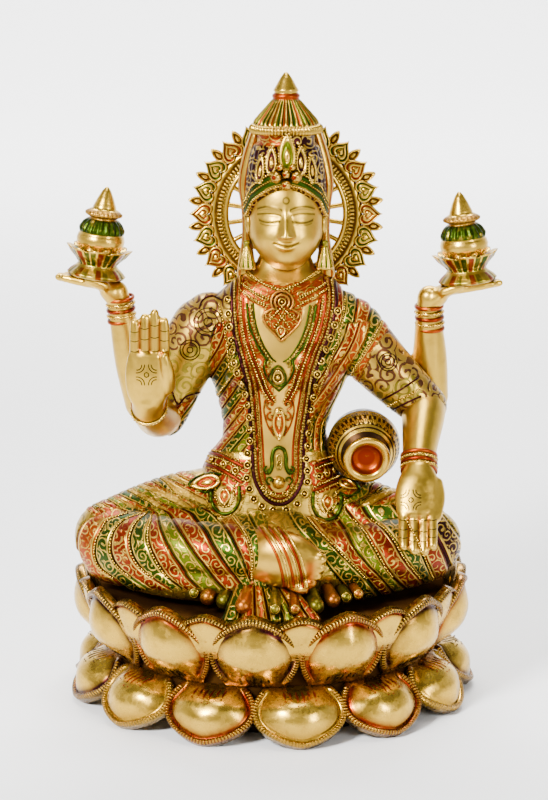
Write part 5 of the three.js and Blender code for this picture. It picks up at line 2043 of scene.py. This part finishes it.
BUCKLE_INNER = (0.55, 0.8, 0.2)
BELT_CORD = (0.8, 0.9, 0.1)
LOOP_CORD = (1.1, 1.3, 0.3)
LEAF_CORD = (0.8, 1.0, 0.2)
SLEEVE_RING = (0.35, 0.3, 0.0)
SLEEVE_HEM = (0.6, 0.7, 0.1)
PALM_RING = (0.32, 0.14, 0.0)
PALM_ARC = (0.3, 0.14, 0.0)
JOINT_LINE = (0.25, 0.14, 0.0)
ANKLET_CORD = (0.9, 0.8, 0.0)

# The panel that hangs down the middle of the body, in pixels
PANEL_LEFT = [(237, 276), (236, 300), (238, 330), (245, 360), (252, 390), (256, 440), (258, 474)]
PANEL_FOOT = [(263, 488), (270, 497), (279, 500), (288, 497), (295, 487)]
PANEL_RIGHT = [(299, 474), (300, 440), (308, 388), (315, 360), (326, 332), (332, 302), (330, 276)]
PANEL_EDGE = PANEL_LEFT + PANEL_FOOT + PANEL_RIGHT
PANEL_MIDDLE = 279
PANEL_ROUND_FROM = 474
STUDS = [
    (228, 300), (229, 314), (230, 327), (231, 340), (233, 352), (235, 363), (238, 373), (242, 383),
    (246, 394), (248, 405), (250, 417), (250, 430), (250, 441), (248, 453), (248, 465), (247, 478),
    (249, 489), (254, 499), (262, 506), (273, 510), (286, 510), (297, 504), (304, 494), (307, 482),
    (307, 471), (306, 459), (307, 446), (308, 433), (309, 421), (311, 409), (313, 397), (315, 385),
    (317, 374), (321, 362), (325, 350), (330, 338), (334, 325), (337, 311),
]
STUD_RADIUS = 2.35


def widened(pixels, amount):
    """The panel's edge moved outward from its middle line by a number of pixels."""
    out = []
    for x, y in pixels:
        away = np.array([x - PANEL_MIDDLE, max(0, y - PANEL_ROUND_FROM)], float)
        away /= np.linalg.norm(away) + 1e-9
        out.append((x + away[0] * amount, y + away[1] * amount))
    return out


def beside(middle, side, places):
    """Places given by how far they lie to one side of a middle line, as pixels."""
    return [(middle + side * x, y) for x, y in places]


def shifted(pixels, dx, dy=0):
    return [(x + dx, y + dy) for x, y in pixels]


def circle(centre, radius, count, first=0.0, last=2 * math.pi):
    """Pixels round a centre, or along a part of the circle."""
    angles = np.linspace(first, last, count)
    return [(centre[0] + radius * math.cos(a), centre[1] + radius * math.sin(a)) for a in angles]


def scroll(centre, radius, start, turns, hand=1, count=26):
    """A spiral in pixels, winding in from its outer end."""
    t = np.linspace(0, 1, count)
    a = math.radians(start) + hand * t * turns * 2 * math.pi
    r = radius * (1 - 0.8 * t)
    return list(zip(centre[0] + r * np.cos(a), centre[1] + r * np.sin(a)))


class Trim:
    """The raised work of one piece, laid on the surface that lies behind each pixel."""

    def __init__(self, surface):
        self.surface = surface
        self.shell = Shell()

    def cord(self, pixels, size, colour, amount):
        cord_on(self.shell, self.surface, pixels, *size, paint=coat(colour, amount))

    def beads(self, pixels, size, colour, amount):
        bead_row(self.shell, self.surface, pixels, *size, paint=coat(colour, amount))

    def bead(self, pixel, radius, height, lift):
        place, normal = self.surface.hit(*pixel)
        add_bead(self.shell, place + normal * lift, normal, radius, height, paint=coat(GOLD, 0.0))

    def leaf(self, foot, tip, half, thick, colour, lift):
        """A raised leaf between two pixels."""
        a, b = self.surface.hit(*foot), self.surface.hit(*tip)
        if a is None or b is None:
            return
        facing = a[1] + b[1]
        facing /= np.linalg.norm(facing)
        add_leaf(self.shell, a[0] + facing * lift, b[0] + facing * lift, half, thick, colour, facing)

    def stud(self, pixel, radius, colour):
        """A ring with a bead in it."""
        found = self.surface.hit(*pixel)
        if found is None:
            return
        place, normal = found
        side, up, n = frame_of(normal)
        sides = 20
        turn = np.linspace(0, 2 * math.pi, sides, endpoint=False)
        section = [(1.0, 0.0), (1.0, 0.55), (0.86, 0.9), (0.68, 0.75), (0.62, 0.3)]
        amounts = (0.9, 0.4, 0.0, 0.5, 1.0)
        rings = []
        for r, h in section:
            ring = [(side * math.cos(a) + up * math.sin(a)) * radius * r for a in turn]
            rings.append([place + out + n * h * radius * 0.7 for out in ring])
        points, quads, triangles = rings_to_shell(np.array(rings))
        paint = [np.tile(coat(colour, amount), (sides, 1)) for amount in amounts]
        paint.append(np.tile(coat(colour, 1.0), (2, 1)))
        self.shell.add(points, quads, triangles, paint=np.vstack(paint))
        middle = place + n * radius * 0.25
        add_bead(self.shell, middle, n, radius * 0.46, radius * 0.4, paint=coat(GOLD, 0.0))

    def make(self, name):
        self.shell.make(name, coloured, FIGURE)


def make_panel(surface):
    trim = Trim(surface)
    trim.cord(widened(PANEL_EDGE, 4.4), PANEL_CORD, PURPLE, 1.0)
    trim.cord(widened(PANEL_EDGE, -1.1), PANEL_LINE, RED, 1.0)
    trim.cord(widened(PANEL_EDGE, -6.4), PANEL_INNER_CORD, RED, 1.0)
    trim.beads(widened(PANEL_EDGE, 1.3), PANEL_OUTER_BEADS, PURPLE, 0.42)
    trim.beads(widened(PANEL_EDGE, -3.4), PANEL_INNER_BEADS, RED, 0.5)
    for stud in STUDS:
        trim.stud(stud, STUD_RADIUS, PURPLE)
    trim.make("panel_border")


COLLAR_TOP = [(247, 271), (262, 283), (281, 290), (300, 283), (318, 271)]
COLLAR_LOWER = [(245, 277), (260, 289), (281, 296), (302, 289), (321, 277)]
COLLAR_ROWS = (
    [(241, 283), (256, 293), (269, 299)],
    [(298, 297), (312, 291), (326, 283)],
    [(301, 303), (314, 297), (327, 289)],
    [(240, 290), (252, 298), (264, 304)],
)
COLLAR_CURVE = [(243, 277), (258, 288), (281, 296), (304, 288), (323, 277)]
COLLAR_CURVE_ENDS = ((267, 292.5), (297, 292))
COLLAR_RISES = (-6.5, 8.5, 14.5)
PENDANT = (282, 302)
PENDANT_LOOP_RADII = (11.0, 7.2)
PENDANT_LOOP_REACH = 2.4
PENDANT_SIDE = [(8, 308), (18, 314), (17, 323), (9, 332)]
PENDANT_POINT = (281, 341)
PENDANT_LATTICE = ([(-6, 310), (2, 320), (8, 328)], [(-1, 306), (8, 315), (13, 321)])
PENDANT_CURL_AT = (13, 316)
PENDANT_LEAF = ((281, 325), (281, 338))


def make_collar(surface):
    trim = Trim(surface)
    trim.beads(COLLAR_TOP, COLLAR_TOP_BEADS, GOLD, 0.0)
    trim.cord(COLLAR_LOWER, COLLAR_CORD, ORANGE, 0.7)
    for line in COLLAR_ROWS:
        trim.beads(line, COLLAR_BEADS, GOLD, 0.1)
        trim.cord(shifted(line, 0, 3.4), COLLAR_LINE, ORANGE, 0.9)
    for rise in COLLAR_RISES:
        line = shifted(COLLAR_CURVE, 0, rise)
        ends = shifted(COLLAR_CURVE_ENDS, 0, rise)
        # The lower rows stop short of the pendant's loop
        halves = (line[:3], line[2:]) if rise < 0 else (line[:2] + ends[:1], ends[1:] + line[3:])
        for half in halves:
            trim.beads(half, COLLAR_FINE_BEADS, GOLD, 0.0)
    # The pendant: a double loop over a pointed lattice
    x, y = PENDANT
    for r in PENDANT_LOOP_RADII:
        angles = np.linspace(-PENDANT_LOOP_REACH, PENDANT_LOOP_REACH, 20)
        trim.cord([(x + r * math.sin(a), y - r * math.cos(a)) for a in angles], PENDANT_LOOP, ORANGE, 0.5)
    for side in (-1, 1):
        trim.cord(beside(x, side, PENDANT_SIDE) + [PENDANT_POINT], PENDANT_EDGE, ORANGE, 0.5)
        for row in PENDANT_LATTICE:
            trim.beads(beside(x, side, row), PENDANT_BEADS, GOLD, 0.1)
        curl_at = beside(x, side, [PENDANT_CURL_AT])[0]
        trim.cord(scroll(curl_at, 4.5, -90, 1.0, side), PENDANT_CURL, ORANGE, 0.5)
    trim.leaf(*PENDANT_LEAF, 2.6, 1.2, ORANGE, 0.3)
    trim.stud(PENDANT, 2.4, RED)
    trim.make("collar")


GREEN_CHAINS = (
    ([(250, 303), (253, 325), (260, 344), (268, 357), (273, 362)], -1),
    ([(313, 305), (309, 325), (302, 343), (293, 357), (286, 362)], 1),
)
CHAIN_TAIL_PLACES = [(14, 360), (15, 370), (9, 382), (0, 391)]
CHAIN_CURL_AT = (9, 363)
DROP = (278, 376)
DROP_HALF_WIDTH = 7.5
DROP_HALF_HEIGHT = 10
DROP_PEARL = (278, 377)
LONG_CHAINS = (
    ([(241, 298), (242, 322), (247, 348), (255, 370), (262, 388), (271, 403)], -1),
    ([(323, 298), (319, 322), (311, 346), (303, 368), (297, 386), (288, 403)], 1),
)
LOWER_LEAF = ((279, 408), (279, 441))
LOWER_STUD = (279, 412)
# The lower pendant's curls: place, radius, start angle, turns, way round and cord
LOWER_CURLS = (
    ((8, 404), 5.5, 90, 1.0, -1, LOWER_CURL),
    ((8, 417), 4.8, -90, 1.0, 1, LOWER_CURL),
    ((5.4, 429), 3.6, -90, 0.9, 1, SMALL_CURL),
)
LOWER_SIDE = [(14, 400), (15, 412), (11, 426), (5, 436)]


def make_necklaces(surface):
    trim = Trim(surface)
    middle = PANEL_MIDDLE
    for line, side in GREEN_CHAINS:
        trim.beads(line, GREEN_CHAIN_BEADS, GREEN, 0.35)
        trim.cord(shifted(line, -side * 3.0), CHAIN_INNER_LINE, GREEN, 0.95)
        trim.cord(shifted(line, side * 3.4), CHAIN_OUTER_CORD, GREEN, 0.9)
        trim.cord(beside(middle, side, CHAIN_TAIL_PLACES), CHAIN_TAIL, GREEN, 0.8)
        curl_at = beside(middle, side, [CHAIN_CURL_AT])[0]
        trim.cord(scroll(curl_at, 4.0, 90, 1.0, -side), CHAIN_CURL, LIME, 0.5)
    # Its drop, with a pearl
    for scale, colour, amount in ((1.0, GREEN, 0.75), (0.6, GOLD, 0.0)):
        drop = []
        for a in np.linspace(0, 2 * math.pi, 28):
            wide = DROP_HALF_WIDTH * scale * math.sin(a) * (1 - 0.25 * math.cos(a))
            drop.append((DROP[0] + wide, DROP[1] - DROP_HALF_HEIGHT * scale * math.cos(a)))
        trim.cord(drop, DROP_CORD, colour, amount)
    trim.bead(DROP_PEARL, 1.9, 1.6, 0.5)
    for line, side in LONG_CHAINS:
        trim.beads(line, LONG_CHAIN_BEADS, GOLD, 0.1)
        trim.beads(shifted(line[1:], -side * 5.0), COLLAR_BEADS, GOLD, 0.2)
        trim.cord(shifted(line, -side * 2.5), LONG_CHAIN_LINE, RED, 1.0)
    trim.leaf(*LOWER_LEAF, 3.8, 1.5, ORANGE, 0.3)
    trim.stud(LOWER_STUD, 2.8, RED)
    for side in (-1, 1):
        for place, radius, start, turns, hand, size in LOWER_CURLS:
            at = beside(middle, side, [place])[0]
            trim.cord(scroll(at, radius, start, turns, hand * side), size, ORANGE, 0.7)
        trim.cord(beside(middle, side, LOWER_SIDE), LOWER_EDGE, ORANGE, 0.8)
    trim.make("necklaces")


BUCKLE_ARCH_PLACES = [(0, 447), (5, 450), (7, 458), (7, 466), (10, 473), (13.5, 472)]
BUCKLE_CURLS = (((9, 480), 4.5, 90, -1), ((12, 470), 3.6, -90, 1))
BUCKLE_INNER_PLACES = [(0, 454), (2.6, 458), (2.4, 466), (1.0, 470)]
BUCKLE_STUD_ROW = 494
BUCKLE_PEARL = (278.5, 482.5)
BUCKLE_STUD = (279, 463)


def make_buckle(surface):
    trim = Trim(surface)
    middle = PANEL_MIDDLE
    for side in (-1, 1):
        trim.cord(beside(middle, side, BUCKLE_ARCH_PLACES), BUCKLE_ARCH, GREEN, 0.75)
        for place, radius, start, hand in BUCKLE_CURLS:
            at = beside(middle, side, [place])[0]
            trim.cord(scroll(at, radius, start, 1.0, hand * side), BUCKLE_CURL, GREEN, 0.8)
        trim.cord(beside(middle, side, BUCKLE_INNER_PLACES), BUCKLE_INNER, LIME, 0.4)
        for k in range(3):
            trim.stud((middle + side * (6 + 4.5 * k), BUCKLE_STUD_ROW - 1.5 * k * k), 1.7, GREEN)
    trim.bead(BUCKLE_PEARL, 3.9, 2.6, 0.6)
    trim.stud(BUCKLE_STUD, 1.5, GREEN)
    trim.make("buckle")


# The belt's upper and lower line on each side of the panel
BELT_LINES = (
    ([(205, 452), (222, 456), (244, 467)], [(206, 464), (222, 470), (243, 483)]),
    ([(334, 459), (324, 462), (314, 466)], [(342, 478), (328, 484), (313, 491)]),
)
BELT_BEADS_OFF = 3.2


def make_belt(surface):
    trim = Trim(surface)
    for top, foot in BELT_LINES:
        for line, sign in ((top, 1), (foot, -1)):
            trim.cord(line, BELT_CORD, RED, 0.85)
            trim.beads(shifted(line, 0, sign * BELT_BEADS_OFF), BELT_OUTER_BEADS, GOLD, 0.1)
            trim.beads(shifted(line, 0, -sign * BELT_BEADS_OFF), BELT_INNER_BEADS, ORANGE, 0.4)
        for t in (0.2, 0.5, 0.8):
            a, b = spline(top, 20)[int(t * 19)], spline(foot, 20)[int(t * 19)]
            trim.stud(tuple((a + b) / 2), 2.2, RED)
    trim.make("belt")


LOOPS = ((225, 514), (327, 520))
LOOP_PLACES = [(-14, -28), (-14, -14), (-9, -4), (0, 0), (9, -4), (14, -14), (14, -28)]
SASH_LEAVES = (
    (((221, 480), (190, 486)), (4.6, 1.6), RED),
    (((338, 480), (356, 489)), (3.6, 1.5), ORANGE),
)
SASH_EDGES = (
    [(222, 474), (205, 474), (189, 484), (204, 492), (218, 488)],
    [(340, 476), (352, 480), (360, 490), (350, 496), (340, 494)],
)


def make_loops(surface):
    trim = Trim(surface)
    for middle, foot in LOOPS:
        line = shifted(LOOP_PLACES, middle, foot)
        trim.cord(line, LOOP_CORD, GREEN, 0.75)
        inner = [(middle + x * 0.66, foot - 7 + y * 0.78) for x, y in LOOP_PLACES]
        trim.beads(inner, LOOP_INNER_BEADS, GOLD, 0.0)
        outer = [(middle + x * 1.25, foot + 3.5 + y) for x, y in LOOP_PLACES]
        trim.beads(outer, LOOP_OUTER_BEADS, GREEN, 0.3)
        trim.leaf((middle, foot - 26), (middle, foot - 8), 3.6, 1.5, ORANGE, 0.2)
    for (ends, (half, thick), colour), edge in zip(SASH_LEAVES, SASH_EDGES):
        trim.leaf(*ends, half, thick, colour, 0.3)
        trim.cord(edge, LEAF_CORD, GREEN, 0.8)
    trim.make("sash_loops")


# Which of the legs' band borders are beaded, between the first and the last pixel row
BEADED_BORDERS = (
    (LEFT_LEG_ROWS, LEFT_LEG_LINES, (1, 2, 3, 4, 9), 582),
    (RIGHT_LEG_ROWS, RIGHT_LEG_LINES, (1, 3, 4, 5), 584),
)
BEADED_FROM = 512
SHAWL_LINES = (
    [(345, 296), (343, 318), (339, 335), (333, 352), (326, 372), (318, 392)],
    [(386, 300), (383, 318), (375, 335), (366, 350), (354, 370), (346, 388)],
    [(219, 302), (224, 325), (228, 350), (230, 372)],
    [(213, 400), (222, 389), (230, 378)],
)


def make_cloth_borders(surface):
    """The beaded borders of the skirt's and the shawl's bands."""
    trim = Trim(surface)
    for rows, lines, wanted, last in BEADED_BORDERS:
        for k in wanted:
            line = [(x, y) for x, y in zip(lines[k], rows) if BEADED_FROM <= y <= last]
            trim.beads(line, SKIRT_BEADS, GOLD, 0.0)
    for line in SHAWL_LINES:
        trim.beads(line, SHAWL_BEADS, GOLD, 0.1)
    trim.make("cloth_beads")


SLEEVE_RINGS = (((208, 322), 14), ((190, 350), 10), ((388, 362), 9))
SLEEVE_HEMS = (
    [(199, 309), (203, 300), (212, 296), (222, 300)],
    [(172, 392), (178, 404), (187, 396), (206, 391)],
    [(388, 412), (404, 404), (421, 396)],
    [(382, 400), (400, 390), (418, 378)],
)
SLEEVE_HEM_BEADS = [(386, 407), (404, 398), (421, 388)]
PALM_CENTRES = ((146.5, 375), (411, 500))
PALM_RING_RADIUS = 2.4
PALM_ARCS_OFF = 13.6
PALM_ARC_RADII = (4.8, 7.6)
PALM_ARC_REACH = 0.9
# The pixel rows from which each hand's finger joints are counted, and their shares of a finger
FINGER_ROOTS = ((RAISED_FINGERS, 353), (LOWERED_FINGERS, 519))
JOINT_SHARES = (0.04, 0.38, 0.68)
JOINT_HALF = 4.2


def make_sleeve_work(surface):
    """Incised rings and scrolls on the sleeves and hem bands, and on both palms."""
    trim = Trim(surface)
    for centre, r in SLEEVE_RINGS:
        for share in (1.0, 0.72, 0.3):
            trim.cord(circle(centre, r * share, 26), SLEEVE_RING, BLACK, 0.9)
    for line in SLEEVE_HEMS:
        trim.cord(line, SLEEVE_HEM, PURPLE, 0.8)
    trim.beads(SLEEVE_HEM_BEADS, BELT_OUTER_BEADS, GOLD, 0.1)
    for centre in PALM_CENTRES:
        trim.cord(circle(centre, PALM_RING_RADIUS, 16), PALM_RING, BLACK, 0.9)
        for quarter in range(4):
            a = math.radians(45 + 90 * quarter)
            middle = (centre[0] + PALM_ARCS_OFF * math.cos(a), centre[1] + PALM_ARCS_OFF * math.sin(a))
            facing = a + math.pi
            for r in PALM_ARC_RADII:
                arc = circle(middle, r, 9, facing - PALM_ARC_REACH, facing + PALM_ARC_REACH)
                trim.cord(arc, PALM_ARC, BLACK, 0.9)
    for fingers, roots in FINGER_ROOTS:
        for x, tip, _ in fingers:
            for share in JOINT_SHARES:
                y = mix(roots, tip, share)
                line = [(x - JOINT_HALF, y - 0.6), (x, y + 0.5), (x + JOINT_HALF, y - 0.6)]
                trim.cord(line, JOINT_LINE, BLACK, 0.9)
    trim.make("incised_work")


BANGLE_SIDES = 44
BANGLE_SECTION = 8


def bangle(shell, centre, axis, radius, thick, colour, amount, beads=0):
    """A ring round an arm, beaded or plain."""
    side, up, n = frame_of(np.array(axis, float))
    turn = np.linspace(0, 2 * math.pi, BANGLE_SIDES, endpoint=False)
    corners = np.linspace(0, 2 * math.pi, BANGLE_SECTION, endpoint=False)
    section = [(0.4 * math.cos(b), math.sin(b)) for b in corners]
    rings = []
    for a in turn:
        out = side * math.cos(a) + up * math.sin(a)
        rings.append([centre + out * (radius + thick * r * 1.6) + n * thick * h for r, h in section])
    faces = grid_faces(BANGLE_SIDES, BANGLE_SECTION, close_rows=True, close_columns=True)
    shell.add(np.array(rings).reshape(-1, 3), faces, paint=coat(colour, amount))
    for k in range(beads):
        a = 2 * math.pi * k / beads
        out = side * math.cos(a) + up * math.sin(a)
        add_bead(shell, centre + out * (radius + 0.5), out, 0.75, 0.75, paint=coat(GOLD, 0.0))


# The first and the last ring's pixel and depth, their radius and their axis
WRIST_SETS = (
    ((122, 320, 11), (120, 298, 9), 7.9, (-0.1, -0.1, 1)),
    ((430, 328, 11), (429, 306, 9), 7.9, (-0.03, -0.1, 1)),
    ((419, 456, -35), (419, 471, -40), 10.0, (-0.03, -0.55, -0.83)),
)
# From the first ring to the last: lacquer, its amount, how much narrower, and beads
WRIST_RINGS = (
    (ORANGE, 0.75, 0, 0), (GOLD, 0.0, 0.3, 30), (RED, 0.75, 0, 0), (GOLD, 0.0, 0.3, 30),
    (ORANGE, 0.75, 0, 0),
)
WRIST_RING_THICK = 1.15
# The raised hand's two rings: pixel row, lacquer, its amount and beads
RAISED_RINGS = ((402, ORANGE, 0.6, 0), (409, GOLD, 0.0, 32))
RAISED_RING_COLUMN = 149
RAISED_RING_DEPTH = -36
RAISED_RING_AXIS = (-0.15, -0.75, 0.65)


def make_bangles():
    shell = Shell()
    for first, last, radius, axis in WRIST_SETS:
        for t, (colour, amount, narrower, beads) in zip(np.linspace(0, 1, len(WRIST_RINGS)), WRIST_RINGS):
            centre = mix(place_at(*first), place_at(*last), t)
            bangle(shell, centre, axis, radius - narrower, WRIST_RING_THICK, colour, amount, beads)
    for row, colour, amount, beads in RAISED_RINGS:
        centre = place_at(RAISED_RING_COLUMN, row, RAISED_RING_DEPTH)
        bangle(shell, centre, RAISED_RING_AXIS, 9.9, 1.1, colour, amount, beads)
    shell.make("bangles", coloured, FIGURE)


ANKLET_LINE = [(268, 527), (278, 541), (286, 556), (291, 573), (293, 588)]
ANKLET_CORDS = (
    (-9, ORANGE, 0.9), (-4, GOLD, 0.0), (1, ORANGE, 0.85), (6, GOLD, 0.0), (10, RED, 0.85),
    (14, GOLD, 0.0),
)


def make_anklet(surface):
    trim = Trim(surface)
    for dx, colour, amount in ANKLET_CORDS:
        trim.cord(shifted(ANKLET_LINE, dx), ANKLET_CORD, colour, amount)
    trim.make("anklet")


# Each rolled end's pixel, depth, radius and lacquer
ROLLED_ENDS = (
    (194, 593, -76, 3.6, GREEN), (208, 597, -80, 4.6, RED), (224, 601, -84, 4.6, GREEN),
    (243, 606, -97, 4.6, ORANGE), (275, 609, -102, 3.6, GREEN), (295, 609, -100, 3.2, RED),
    (316, 606, -93, 4.6, GREEN), (333, 600, -86, 4.2, RED), (346, 597, -81, 3.6, GREEN),
    (358, 594, -78, 3.2, ORANGE),
)
ROLL_LENGTH = 14
ROLL_FACING = np.array([0.0, -1.0, 0.25])


def make_rolled_hems():
    """Turned-up ends of the cloth along its lower edge."""
    shell = Shell()
    for x, y, depth, r, colour in ROLLED_ENDS:
        centre = place_at(x, y, depth)
        lean = (x - PANEL_MIDDLE) / 200
        places = []
        for t in (0, 0.25, 0.6, 1.0):
            back = centre + np.array([-lean * ROLL_LENGTH * t, ROLL_LENGTH * t, 5 * t])
            places.append([*back, r * (1 - 0.3 * t), r * (1 - 0.4 * t)])
        shell.add(*rings_to_shell(tube(places, steps=10, sides=18)), paint=coat(colour, 0.62))
        front = centre + np.array([0, -0.55 * r, 0.5])
        bangle(shell, front, ROLL_FACING, r * 0.62, 0.75, GOLD, 0.0)
        add_bead(shell, front, ROLL_FACING, r * 0.3, r * 0.45, paint=coat(GOLD, 0.0))
    shell.make("rolled_hems", coloured, FIGURE)


set_camera()
set_stage()
set_lights()
make_lotus()
make_halo()
make_torso()
make_legs()
make_bare_arms()
make_head()
make_crown()
make_small_pots()
make_tipped_pot()
make_foot()
make_hem()
figure_surface = Surface(surface_parts)
make_panel(figure_surface)
make_collar(figure_surface)
make_necklaces(figure_surface)
make_buckle(figure_surface)
make_belt(figure_surface)
make_loops(figure_surface)
make_cloth_borders(figure_surface)
make_sleeve_work(figure_surface)
make_bangles()
make_anklet(figure_surface)
make_rolled_hems()

for node in (BASE, FIGURE, HALO):
    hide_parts(node)
